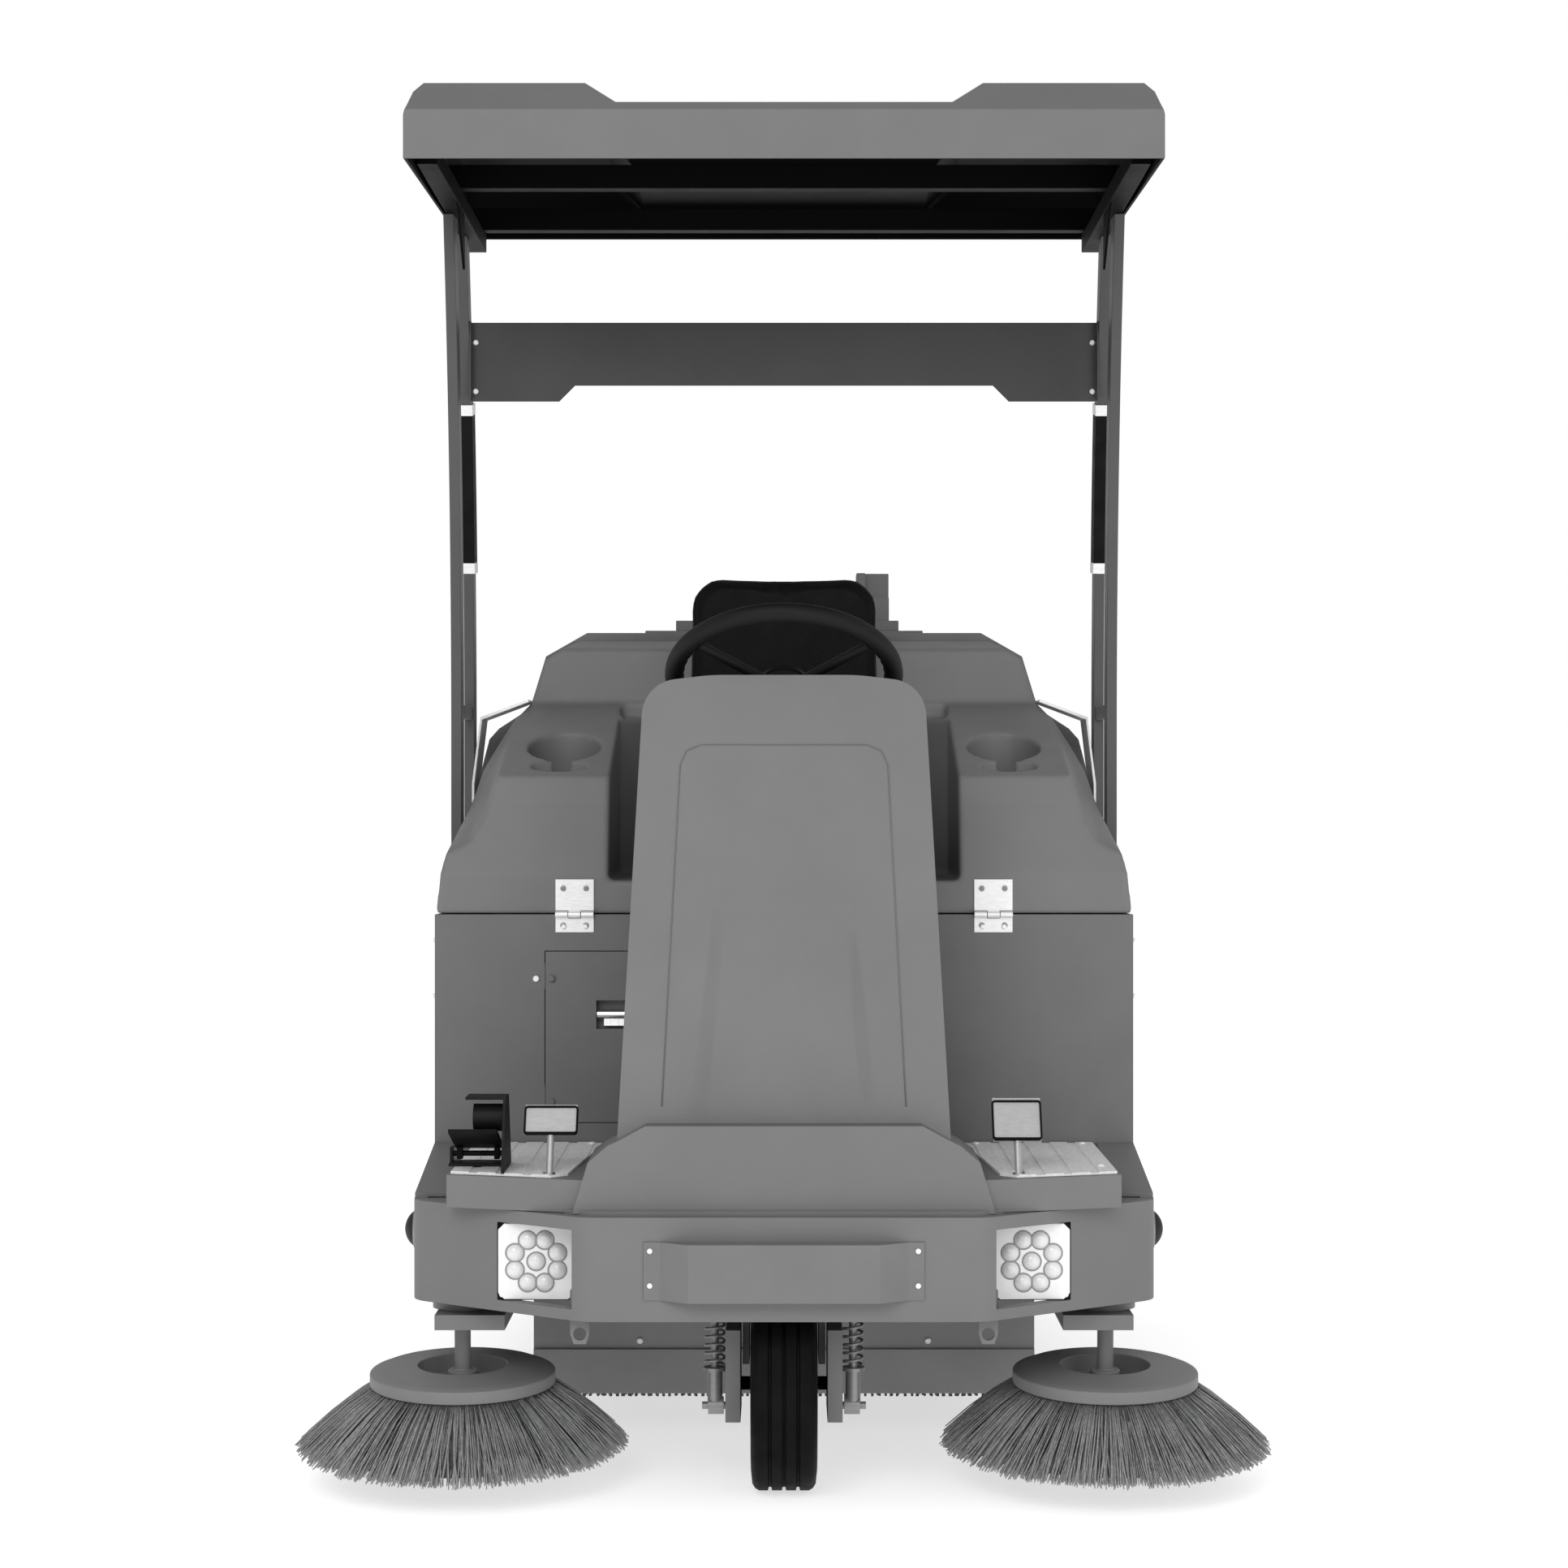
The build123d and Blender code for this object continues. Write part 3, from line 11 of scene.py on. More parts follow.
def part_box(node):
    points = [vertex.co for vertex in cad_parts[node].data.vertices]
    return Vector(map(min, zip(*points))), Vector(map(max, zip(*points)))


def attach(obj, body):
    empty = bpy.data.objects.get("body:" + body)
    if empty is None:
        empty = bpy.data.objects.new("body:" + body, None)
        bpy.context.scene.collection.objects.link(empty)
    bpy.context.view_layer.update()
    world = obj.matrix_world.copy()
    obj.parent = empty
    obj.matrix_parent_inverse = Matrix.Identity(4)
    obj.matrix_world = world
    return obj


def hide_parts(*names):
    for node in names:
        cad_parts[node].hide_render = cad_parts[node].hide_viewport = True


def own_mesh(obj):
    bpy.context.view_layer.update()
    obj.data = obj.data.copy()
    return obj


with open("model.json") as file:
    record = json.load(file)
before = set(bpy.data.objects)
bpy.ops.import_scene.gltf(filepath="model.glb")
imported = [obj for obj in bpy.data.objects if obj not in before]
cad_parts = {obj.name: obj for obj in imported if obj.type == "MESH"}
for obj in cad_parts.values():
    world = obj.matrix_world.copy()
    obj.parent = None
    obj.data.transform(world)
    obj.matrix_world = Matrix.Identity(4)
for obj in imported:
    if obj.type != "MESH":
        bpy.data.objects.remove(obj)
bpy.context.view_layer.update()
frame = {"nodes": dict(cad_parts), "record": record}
nodes = frame["nodes"]
scene = bpy.context.scene
random.seed(7)
print("frame loaded")


# camera in front of the machine, level with the hood
camera = {"distance": 5.26, "height": 1.04, "lens": 70.55}
cameraData = bpy.data.cameras.new("frontCamera")
cameraData.lens = camera["lens"]
cameraData.sensor_width = 36
cameraData.clip_end = 200
frontCamera = bpy.data.objects.new("frontCamera", cameraData)
frontCamera.location = (0, -camera["distance"], camera["height"])
frontCamera.rotation_euler = (math.radians(90), 0, 0)
scene.collection.objects.link(frontCamera)
scene.camera = frontCamera
scene.view_settings.view_transform = "Standard"


# materials: each has a helper for its grain, and all read the machine's own coordinates in metres
def startMaterial(name, color, rough, metal=0.0, specular=0.5):
    material = bpy.data.materials.new(name)
    material.use_nodes = True
    shader = material.node_tree.nodes["Principled BSDF"]
    shader.inputs["Base Color"].default_value = (*color, 1)
    shader.inputs["Roughness"].default_value = rough
    shader.inputs["Metallic"].default_value = metal
    shader.inputs["Specular IOR Level"].default_value = specular
    return material, shader


def addNode(material, kind, **values):
    node = material.node_tree.nodes.new(kind)
    for key, value in values.items():
        if key in node.inputs:
            node.inputs[key].default_value = value
        else:
            setattr(node, key, value)
    return node


def join(material, source, target):
    material.node_tree.links.new(source, target)


def ownCoordinates(material, stretch=(1, 1, 1)):
    place = addNode(material, "ShaderNodeTexCoord")
    mapping = addNode(material, "ShaderNodeMapping")
    mapping.inputs["Scale"].default_value = stretch
    join(material, place.outputs["Object"], mapping.inputs["Vector"])
    return mapping.outputs["Vector"]


def noiseField(material, scale, detail=4.0, rough=0.55, stretch=(1, 1, 1)):
    field = addNode(material, "ShaderNodeTexNoise", Scale=scale, Detail=detail, Roughness=rough)
    join(material, ownCoordinates(material, stretch), field.inputs["Vector"])
    return field.outputs["Fac"]


def ramp(material, source, low, high, lowAt=0.3, highAt=0.7):
    band = addNode(material, "ShaderNodeValToRGB")
    band.color_ramp.elements[0].position = lowAt
    band.color_ramp.elements[0].color = (*low, 1)
    band.color_ramp.elements[1].position = highAt
    band.color_ramp.elements[1].color = (*high, 1)
    join(material, source, band.inputs["Fac"])
    return band.outputs["Color"]


def grey(value):
    return (value, value, value * 1.01)


def shadeOf(color, factor):
    return tuple(min(1, part * factor) for part in color)


def varyColor(material, shader, color, amount, scale, stretch=(1, 1, 1)):
    field = noiseField(material, scale, 5.0, 0.6, stretch)
    tint = ramp(material, field, shadeOf(color, 1 - amount), shadeOf(color, 1 + amount))
    join(material, tint, shader.inputs["Base Color"])
    return tint


def varyRough(material, shader, low, high, scale, stretch=(1, 1, 1)):
    field = noiseField(material, scale, 6.0, 0.65, stretch)
    join(material, ramp(material, field, grey(low), grey(high)), shader.inputs["Roughness"])


def addBump(material, shader, height, distance, strength=1.0):
    bump = addNode(material, "ShaderNodeBump", Strength=strength, Distance=distance)
    join(material, height, bump.inputs["Height"])
    old = shader.inputs["Normal"].links
    if old:
        join(material, old[0].from_socket, bump.inputs["Normal"])
    join(material, bump.outputs["Normal"], shader.inputs["Normal"])


def wearEdges(material, shader, tint, lift):
    # corners rubbed a little paler, broken up so that it never runs evenly
    surface = addNode(material, "ShaderNodeNewGeometry")
    corner = ramp(material, surface.outputs["Pointiness"], grey(0), grey(1), 0.51, 0.62)
    broken = ramp(material, noiseField(material, 38.0, 6.0, 0.7), grey(0), grey(1), 0.42, 0.66)
    amount = addNode(material, "ShaderNodeMath", operation="MULTIPLY")
    join(material, corner, amount.inputs[0])
    join(material, broken, amount.inputs[1])
    mix = addNode(material, "ShaderNodeMixRGB", blend_type="MIX")
    join(material, amount.outputs[0], mix.inputs["Fac"])
    join(material, tint, mix.inputs["Color1"])
    mix.inputs["Color2"].default_value = (*lift, 1)
    join(material, mix.outputs["Color"], shader.inputs["Base Color"])


def mouldedPlastic(name, value, blotch=0.05, specular=0.4, worn=False):
    color = grey(value)
    material, shader = startMaterial(name, color, 0.5, 0.0, specular)
    tint = varyColor(material, shader, color, blotch, 5.0)
    if worn:
        wearEdges(material, shader, tint, shadeOf(color, 1.3))
    varyRough(material, shader, 0.5, 0.58, 14.0)
    addBump(material, shader, noiseField(material, 650.0, 2.0, 0.5), 0.00025, 0.5)
    addBump(material, shader, noiseField(material, 9.0, 1.0, 0.4), 0.002, 0.12)
    return material


def powderCoat(name, value, blotch=0.06):
    color = grey(value)
    material, shader = startMaterial(name, color, 0.42, 0.0, 0.35)
    varyColor(material, shader, color, blotch, 7.0)
    varyRough(material, shader, 0.4, 0.48, 22.0)
    addBump(material, shader, noiseField(material, 480.0, 1.5, 0.4), 0.00018, 0.6)
    return material


def platedSteel(name, value, metal=0.75, rough=0.3):
    color = grey(value)
    material, shader = startMaterial(name, color, rough, metal)
    varyColor(material, shader, color, 0.08, 60.0, (1, 1, 6))
    varyRough(material, shader, rough - 0.08, rough + 0.12, 40.0, (12, 1, 1))
    addBump(material, shader, noiseField(material, 260.0, 3.0, 0.6, (10, 1, 1)), 0.00008, 0.5)
    return material


def brushedTread(name, value):
    color = grey(value)
    material, shader = startMaterial(name, color, 0.4, 0.1)
    varyColor(material, shader, color, 0.12, 30.0, (8, 1, 1))
    varyRough(material, shader, 0.32, 0.55, 25.0, (10, 1, 1))
    addBump(material, shader, noiseField(material, 120.0, 4.0, 0.6, (14, 1, 1)), 0.00015, 0.6)
    return material


def rubberBlack(name, value=0.008):
    color = grey(value)
    material, shader = startMaterial(name, color, 0.6, 0.0, 0.07)
    varyColor(material, shader, color, 0.35, 18.0)
    varyRough(material, shader, 0.5, 0.75, 30.0)
    addBump(material, shader, noiseField(material, 420.0, 3.0, 0.6), 0.0002, 0.6)
    return material


def grainedVinyl(name, value=0.004):
    color = grey(value)
    material, shader = startMaterial(name, color, 0.5, 0.0, 0.09)
    varyColor(material, shader, color, 0.2, 14.0)
    varyRough(material, shader, 0.42, 0.6, 45.0)
    cells = addNode(material, "ShaderNodeTexVoronoi", Scale=420.0, feature="DISTANCE_TO_EDGE")
    join(material, ownCoordinates(material), cells.inputs["Vector"])
    grain = ramp(material, cells.outputs["Distance"], grey(0), grey(1), 0.0, 0.25)
    addBump(material, shader, grain, 0.0003, 0.55)
    addBump(material, shader, noiseField(material, 28.0, 4.0, 0.6), 0.0012, 0.25)
    return material


def fibre(name, value):
    color = grey(value)
    material, shader = startMaterial(name, color, 0.55, 0.0, 0.3)
    varyColor(material, shader, color, 0.3, 160.0)
    addBump(material, shader, noiseField(material, 900.0, 2.0, 0.5), 0.0002, 0.4)
    return material


def clearDome(name):
    material, shader = startMaterial(name, grey(0.8), 0.12)
    shader.inputs["Transmission Weight"].default_value = 0.15
    shader.inputs["IOR"].default_value = 1.46
    shader.inputs["Coat Weight"].default_value = 0.6
    # dome colour set by viewing angle: paler head-on as a painted highlight, darker toward the rim as painted
    # shade
    edge = addNode(material, "ShaderNodeLayerWeight", Blend=0.35)
    join(material, ramp(material, edge.outputs["Facing"], grey(0.9), grey(0.3), 0.45, 0.98),
         shader.inputs["Base Color"])
    cells = addNode(material, "ShaderNodeTexVoronoi", Scale=700.0)
    join(material, ownCoordinates(material), cells.inputs["Vector"])
    addBump(material, shader, cells.outputs["Distance"], 0.0004, 0.3)
    return material


def lampWhite(name):
    material, shader = startMaterial(name, grey(0.88), 0.25)
    varyColor(material, shader, grey(0.86), 0.03, 60.0)
    shader.inputs["Coat Weight"].default_value = 0.5
    addBump(material, shader, noiseField(material, 300.0, 2.0, 0.5), 0.0001, 0.4)
    return material


finishes = {
    "roofGrey": mouldedPlastic("roofGrey", 0.14),
    "bumperGrey": mouldedPlastic("bumperGrey", 0.166),
    "consoleGrey": mouldedPlastic("consoleGrey", 0.165),
    "hoodGrey": mouldedPlastic("hoodGrey", 0.168, 0.05, 0.4, True),
    "discGrey": mouldedPlastic("discGrey", 0.2),
    "coverGrey": mouldedPlastic("coverGrey", 0.16),
    "wallGrey": powderCoat("wallGrey", 0.145),
    "plateGrey": powderCoat("plateGrey", 0.17),
    "uprightGrey": powderCoat("uprightGrey", 0.078),
    "panelGrey": powderCoat("panelGrey", 0.055),
    "frameBlack": powderCoat("frameBlack", 0.012),
    # near-black finish that paints shade onto the roof's underside and the rails beneath it
    "paintedShadeBlack": mouldedPlastic("paintedShadeBlack", 0.003, 0.05, 0.05),
    "forkGrey": powderCoat("forkGrey", 0.135),
    "skirtGrey": powderCoat("skirtGrey", 0.26),
    "brightPlate": platedSteel("brightPlate", 0.92, 0.3, 0.35),
    "steelPlate": platedSteel("steelPlate", 0.5, 0.45, 0.35),
    "chromeBar": platedSteel("chromeBar", 0.85, 0.95, 0.15),
    "springSteel": platedSteel("springSteel", 0.3, 0.5, 0.4),
    "treadMetal": brushedTread("treadMetal", 0.95),
    "rubber": rubberBlack("rubber"),
    "tyreRubber": rubberBlack("tyreRubber", 0.005),
    "flapRubber": mouldedPlastic("flapRubber", 0.27, 0.1, 0.15),
    "blackPlastic": mouldedPlastic("blackPlastic", 0.008, 0.08, 0.16),
    "markerBlack": mouldedPlastic("markerBlack", 0.012, 0.08, 0.3),
    "vinyl": grainedVinyl("vinyl"),
    "seam": rubberBlack("seam", 0.014),
    "sideBristle": fibre("sideBristle", 0.31),
    "broomBristle": fibre("broomBristle", 0.08),
    "lampDome": clearDome("lampDome"),
    "lampPlate": lampWhite("lampPlate"),
    "stopRed": mouldedPlastic("stopRed", 0.3),
}
print("materials made")


# shared making tools
bodies = frame["record"]["behaviour"]["bodies"]
bodyOf = {node: body for body, members in bodies.items() for node in members}


def newPiece(name, mesh, material, body, replaced=()):
    piece = bpy.data.objects.new(name, mesh)
    scene.collection.objects.link(piece)
    mesh.materials.append(finishes[material])
    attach(piece, body)
    if replaced:
        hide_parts(*replaced)
    return piece


def meshFrom(name, vertices, faces, smooth=True):
    mesh = bpy.data.meshes.new(name)
    mesh.from_pydata([tuple(v) for v in vertices], [], faces)
    mesh.update()
    if smooth:
        mesh.shade_smooth()
    return mesh


def cleanCopy(node, name, flatten=True):
    source = nodes[node].data
    mesh = bpy.data.meshes.new(name)
    loops = [tuple(face.vertices) for face in source.polygons]
    mesh.from_pydata([tuple(v.co) for v in source.vertices], [], loops)
    work = bmesh.new()
    work.from_mesh(mesh)
    bmesh.ops.remove_doubles(work, verts=work.verts, dist=0.00002)
    bmesh.ops.dissolve_degenerate(work, edges=work.edges, dist=0.00002)
    if flatten:
        bmesh.ops.dissolve_limit(work, angle_limit=math.radians(0.8), verts=work.verts, edges=work.edges)
    work.to_mesh(mesh)
    work.free()
    return mesh


def softenEdges(piece, width):
    bevel = piece.modifiers.new("edges", "BEVEL")
    bevel.width = width
    bevel.segments = 3
    bevel.limit_method = "ANGLE"
    bevel.angle_limit = math.radians(28)
    bevel.use_clamp_overlap = True
    bevel.miter_outer = "MITER_ARC"
    weigh = piece.modifiers.new("normals", "WEIGHTED_NORMAL")
    weigh.keep_sharp = True


moulded = {"voxel": 0.0045, "rounds": 5}      # one closed skin for a piece made of blocks


def dressMoulded(node, material):
    mesh = cleanCopy(node, node + "Skin", False)
    piece = newPiece(mesh.name, mesh, material, bodyOf[node], (node,))
    remesh = piece.modifiers.new("skin", "REMESH")
    remesh.mode = "VOXEL"
    remesh.voxel_size = moulded["voxel"]
    remesh.use_smooth_shade = True
    relax = piece.modifiers.new("relax", "SMOOTH")
    relax.factor = 0.5
    relax.iterations = moulded["rounds"]


def dressNode(node, material, width):
    mesh = cleanCopy(node, node + "Skin", node not in holed)
    mesh.shade_smooth()
    piece = newPiece(mesh.name, mesh, material, bodyOf[node], (node,))
    softenEdges(piece, width)


# rigid pieces that keep the shape they were made to, with their edges broken
holed = ("canopy_roof", "front_cowl", "front_bumper", "steering_console", "rear_cover")
skins = {
    "front_bumper": ("bumperGrey", 0.0025), "front_cowl": ("bumperGrey", 0.0035),
    "steering_console": ("consoleGrey", 0.003), 
    "rear_cover": ("coverGrey", 0.0016), "canopy_roof": ("roofGrey", 0.0018),
    "bumper_plate": ("plateGrey", 0.0006), "headlight_plates": ("lampPlate", 0.0015),
    "tow_eyes": ("plateGrey", 0.0012), "step_treads": ("treadMetal", 0.0004),
    "dashboard": ("blackPlastic", 0.0005), "steering_bearings": ("frameBlack", 0.001),
    "fork_crown": ("forkGrey", 0.001), "fork_blades": ("forkGrey", 0.0015),
    "access_door": ("wallGrey", 0.0005), "door_latch": ("chromeBar", 0.0006),
    "hood_hinge_lower": ("brightPlate", 0.0004), "hood_hinge_upper": ("brightPlate", 0.0004),
    "side_guards": ("brightPlate", 0.0005), "upright_right": ("uprightGrey", 0.0012),
    "upright_left": ("uprightGrey", 0.0012), "grip_sleeves": ("rubber", 0.001),
    "grip_bands": ("brightPlate", 0.0006), "cross_panel": ("panelGrey", 0.0005),
    # canopy rails take the near-black finish as painted shade under the roof
    "canopy_rails": ("paintedShadeBlack", 0.001), "brake_pedal": ("steelPlate", 0.0008),
    "parking_pedal": ("steelPlate", 0.0008), "accelerator_bracket": ("blackPlastic", 0.0008),
    "accelerator_pedal": ("rubber", 0.001), "brush_arm_right": ("plateGrey", 0.0015),
    "brush_arm_left": ("plateGrey", 0.0015), "brush_disc_right": ("discGrey", 0.002),
    "brush_disc_left": ("discGrey", 0.002), "broom_housing": ("skirtGrey", 0.0008),
    "skirt_flaps": ("flapRubber", 0.001), "rear_top_box": ("plateGrey", 0.0015),
    "filter_unit": ("blackPlastic", 0.002), "power_pack": ("blackPlastic", 0.003),
    "hopper": ("frameBlack", 0.001),
    "body_screws": ("brightPlate", 0.0003), "chassis_frame": ("frameBlack", 0.0012),
    "key_switch": ("chromeBar", 0.0005), "emergency_stop": ("stopRed", 0.001),
    "front_hub": ("blackPlastic", 0.002), "steering_wheel_hub": ("blackPlastic", 0.001),
    "side_markers": ("markerBlack", 0.001),
}
for node, (material, width) in skins.items():
    dressNode(node, material, width)
dressMoulded("hood", "hoodGrey")
keptShapes = {"shock_absorbers": "springSteel", "steering_shaft": "steelPlate", "headlight_leds": "lampDome",
              "seat_box": "wallGrey"}
for node, material in keptShapes.items():
    nodes[node].data.materials.clear()
    nodes[node].data.materials.append(finishes[material])
roofSkin = bpy.data.objects["canopy_roofSkin"].data
roofSkin.materials.append(finishes["paintedShadeBlack"])
roofLoops = [tuple(face.vertices) for face in roofSkin.polygons]
roofTree = BVHTree.FromPolygons([v.co for v in roofSkin.vertices], roofLoops)
for face in roofSkin.polygons:      # faces that look down or at another part of the roof get the near-black finish as painted shade
    beyond = roofTree.ray_cast(face.center + face.normal * 0.001, face.normal, 1.4)[0]
    if face.normal.z < -0.3 or beyond is not None:
        face.material_index = 1
print("rigid pieces dressed")


# tubes, turned parts and strands, all given in the machine's own metres
def tubeRun(points, radius, sides=8, closed=False):
    vertices, faces = [], []
    count = len(points)
    for i, point in enumerate(points):
        before = points[i - 1 if closed or i else 0]
        after = points[(i + 1) % count if closed or i < count - 1 else i]
        along = (after - before).normalized()
        first = along.cross(Vector((0.31, 0.52, 0.79))).normalized()
        second = along.cross(first)
        for k in range(sides):
            turn = 2 * math.pi * k / sides
            vertices.append(point + radius * (math.cos(turn) * first + math.sin(turn) * second))
    for i in range(count if closed else count - 1):
        a, b = i * sides, (i + 1) % count * sides
        faces += [(a + k, a + (k + 1) % sides, b + (k + 1) % sides, b + k) for k in range(sides)]
    if not closed:
        faces += [tuple(range(sides))[::-1], tuple(range((count - 1) * sides, count * sides))]
    return vertices, faces


def turned(profile, place, steps=96, height=None):
    # profile of (along, radius) turned round the axis of place; height may change the radius by angle
    vertices, faces = [], []
    for s in range(steps):
        turn = 2 * math.pi * s / steps
        for along, radius in profile:
            reach = height(along, radius, s) if height else radius
            vertices.append(place @ Vector((reach * math.cos(turn), reach * math.sin(turn), along)))
    count = len(profile)
    for s in range(steps):
        a, b = s * count, (s + 1) % steps * count
        faces += [(a + k, b + k, b + k + 1, a + k + 1) for k in range(count - 1)]
    return vertices, faces


def gather(parts):
    vertices, faces = [], []
    for some, loops in parts:
        start = len(vertices)
        vertices += some
        faces += [tuple(start + i for i in loop) for loop in loops]
    return vertices, faces


def tidyMesh(name, parts, sharp=None):
    mesh = meshFrom(name, *gather(parts))
    work = bmesh.new()
    work.from_mesh(mesh)
    bmesh.ops.remove_doubles(work, verts=work.verts, dist=0.000005)
    bmesh.ops.recalc_face_normals(work, faces=work.faces)
    work.to_mesh(mesh)
    work.free()
    if sharp:
        mesh.set_sharp_from_angle(angle=math.radians(sharp))
    return mesh


def makePiece(name, parts, material, body, replaced=(), sharp=None):
    # a piece built from parts; replaced are the parts it hides, and sharp the angle of its hard edges
    return newPiece(name, tidyMesh(name, parts, sharp), material, body, replaced)


def facing(point, normal):
    return Matrix.Translation(point) @ Vector(normal).to_track_quat("Z", "Y").to_matrix().to_4x4()


def screwHead(place, radius, rise):
    # pan head with a six-sided socket
    mouth = radius * 0.42
    profile = [(0, radius), (rise * 0.5, radius), (rise * 0.85, radius * 0.86), (rise, radius * 0.6),
               (rise, mouth)]
    socket = []
    for depth in (rise, rise * 0.3):
        for k in range(6):
            turn = k * math.pi / 3
            socket.append(place @ Vector((mouth * math.cos(turn), mouth * math.sin(turn), depth)))
    walls = [(k, (k + 1) % 6, (k + 1) % 6 + 6, k + 6) for k in range(6)] + [(6, 7, 8, 9, 10, 11)]
    return [turned(profile, place, 24), (socket, walls)]


def frameRing(place, halfX, halfY, corner, width, depth, pieces=6):
    # rounded rectangular rim with a rounded section
    path = []
    for signX, signY, start in ((1, 1, 0), (-1, 1, 90), (-1, -1, 180), (1, -1, 270)):
        for step in range(pieces + 1):
            turn = math.radians(start + 90 * step / pieces)
            path.append(place @ Vector((signX * (halfX - corner) + corner * math.cos(turn),
                                        signY * (halfY - corner) + corner * math.sin(turn), 0)))
    vertices, faces = tubeRun(path, 1.0, 8, True)
    normal = (place.to_3x3() @ Vector((0, 0, 1))).normalized()
    shaped = []
    for i, vertex in enumerate(vertices):
        middle = path[i // 8]
        offset = vertex - middle
        rise = offset.dot(normal)
        shaped.append(middle + (offset - rise * normal) * width / 2 + normal * rise * depth / 2)
    return shaped, faces


# side brushes: a core with curved strands all round it
sideBrush = {"centre": (0.478, -0.68, 0.054), "lean": 3.0, "strands": 2300, "strandRadius": 0.0011,
             "root": (0.106, 0.134), "tip": (0.214, 0.2485), "rise": 0.0955,
             "core": [(0.0945, 0.104), (0.0945, 0.133), (0.06, 0.163), (0.012, 0.215), (0.009, 0.209),
                      (0.055, 0.15), (0.0945, 0.104)]}


def brushPlace(side):
    x, y, z = sideBrush["centre"]
    return Matrix.Translation((side * x, y, z)) @ Matrix.Rotation(math.radians(sideBrush["lean"]), 4, "X")


def sideStrands(place):
    parts = []
    innerRoot, outerRoot = sideBrush["root"]
    innerTip, outerTip = sideBrush["tip"]
    for _ in range(sideBrush["strands"]):
        turn, row = random.uniform(0, 2 * math.pi), random.random()
        sway = random.uniform(-0.05, 0.05)
        root = innerRoot + row * (outerRoot - innerRoot)
        tip = innerTip + (0.75 * row + 0.25 * random.random()) * (outerTip - innerTip)
        lift = random.uniform(0.0015, 0.009)
        path = []
        for share in (0, 0.35, 0.7, 1):
            reach = root + (tip - root) * (0.86 * share + 0.14 * share ** 2)
            height = sideBrush["rise"] * (1 - share) + lift * share + 0.01 * math.sin(math.pi * share) * row
            angle = turn + sway * share ** 2
            path.append(place @ Vector((reach * math.cos(angle), reach * math.sin(angle), height)))
        parts.append(tubeRun(path, sideBrush["strandRadius"], 3))
    return parts


for side, label in ((1, "right"), (-1, "left")):
    place = brushPlace(side)
    body, node = "brush_" + label, "bristles_" + label
    makePiece(label + "BrushStrands", sideStrands(place), "sideBristle", body, (node,))
    makePiece(label + "BrushCore", [turned(sideBrush["core"], place)], "broomBristle", body)
print("side brushes made")


# main broom: rows of tufts wound round a core
mainBroom = {"middle": (0, -0.06, 0.145), "half": 0.352, "core": 0.0605, "tip": 0.1385, "rows": 22, "tufts": 64,
             "tuftRadius": 0.0024, "wind": 1.4,
             "shaft": [(-0.376, 0.0), (-0.376, 0.0118), (-0.36, 0.0118), (-0.36, 0.06), (0.36, 0.06),
                       (0.36, 0.0118), (0.376, 0.0118), (0.376, 0.0)],
             "fill": [(-0.35, 0.06), (-0.352, 0.122), (-0.34, 0.13), (0.34, 0.13), (0.352, 0.122), (0.35, 0.06)]}
_, broomY, broomZ = mainBroom["middle"]
broomParts = []
for row in range(mainBroom["rows"]):
    for tuft in range(mainBroom["tufts"]):
        x = -mainBroom["half"] + 2 * mainBroom["half"] * (tuft + 0.5) / mainBroom["tufts"]
        wind = 2 * math.pi * row / mainBroom["rows"] + mainBroom["wind"] * abs(x) / mainBroom["half"]
        for _ in range(2):
            turn = wind + random.uniform(-0.06, 0.06)
            ends = []
            for reach in (mainBroom["core"] - 0.004, mainBroom["tip"]):
                across = x + random.uniform(-0.002, 0.002)
                ends.append(Vector((across, broomY + reach * math.cos(turn), broomZ + reach * math.sin(turn))))
            broomParts.append(tubeRun(ends, mainBroom["tuftRadius"], 3))
acrossBroom = facing(mainBroom["middle"], (1, 0, 0))
makePiece("broomTufts", broomParts, "broomBristle", "main_broom", ("main_broom",))
makePiece("broomFill", [turned(mainBroom["fill"], acrossBroom, 72)], "broomBristle", "main_broom",
          sharp=40)
makePiece("broomCore", [turned(mainBroom["shaft"], acrossBroom, 48)], "blackPlastic", "main_broom",
          sharp=40)
print("main broom made")


def mirrored(profile):
    return [(-along, radius) for along, radius in profile] + profile[::-1]


# front tyre: ribbed tread with rounded shoulders
frontTyre = {"centre": (0, -0.719, 0.155), "radius": 0.155, "half": 0.0485, "bore": 0.092, "groove": 0.005}
tread, edge = frontTyre["radius"], frontTyre["half"]
bottom = tread - frontTyre["groove"]
frontProfile = mirrored([(edge - 0.006, frontTyre["bore"]), (edge - 0.001, 0.099), (edge, 0.118),
                         (edge - 0.0015, 0.122), (edge, 0.127), (edge - 0.002, tread - 0.01),
                         (edge - 0.006, tread - 0.0035), (edge - 0.012, tread), (0.0235, tread), (0.0225, bottom),
                         (0.0185, bottom), (0.0175, tread), (0.003, tread), (0.002, bottom)])
makePiece("frontTyreRubber", [turned(frontProfile, facing(frontTyre["centre"], (1, 0, 0)), 128)], "tyreRubber",
          "front_wheel", ("front_tyre",), 50)

# fork springs: a coil round each fork leg, from its lower to its upper seat
forkSprings = {"x": 0.102, "y": -0.719, "low": 0.181, "high": 0.3378, "coil": 0.014, "wire": 0.0022,
               "turns": 13, "perTurn": 18, "travel": 0.02}
springHeight = forkSprings["high"] - forkSprings["low"]
coils = []
for side in (1, -1):
    count = forkSprings["turns"] * forkSprings["perTurn"]
    path = []
    for i in range(count + 1):
        turn = 2 * math.pi * i / forkSprings["perTurn"]
        path.append(Vector((side * forkSprings["x"] + forkSprings["coil"] * math.cos(turn),
                            forkSprings["y"] + forkSprings["coil"] * math.sin(turn),
                            forkSprings["low"] + i / count * springHeight)))
    coils.append(tubeRun(path, forkSprings["wire"], 8))
springs = makePiece("forkSprings", coils, "springSteel", "fork", ("suspension_springs",))
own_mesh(springs)

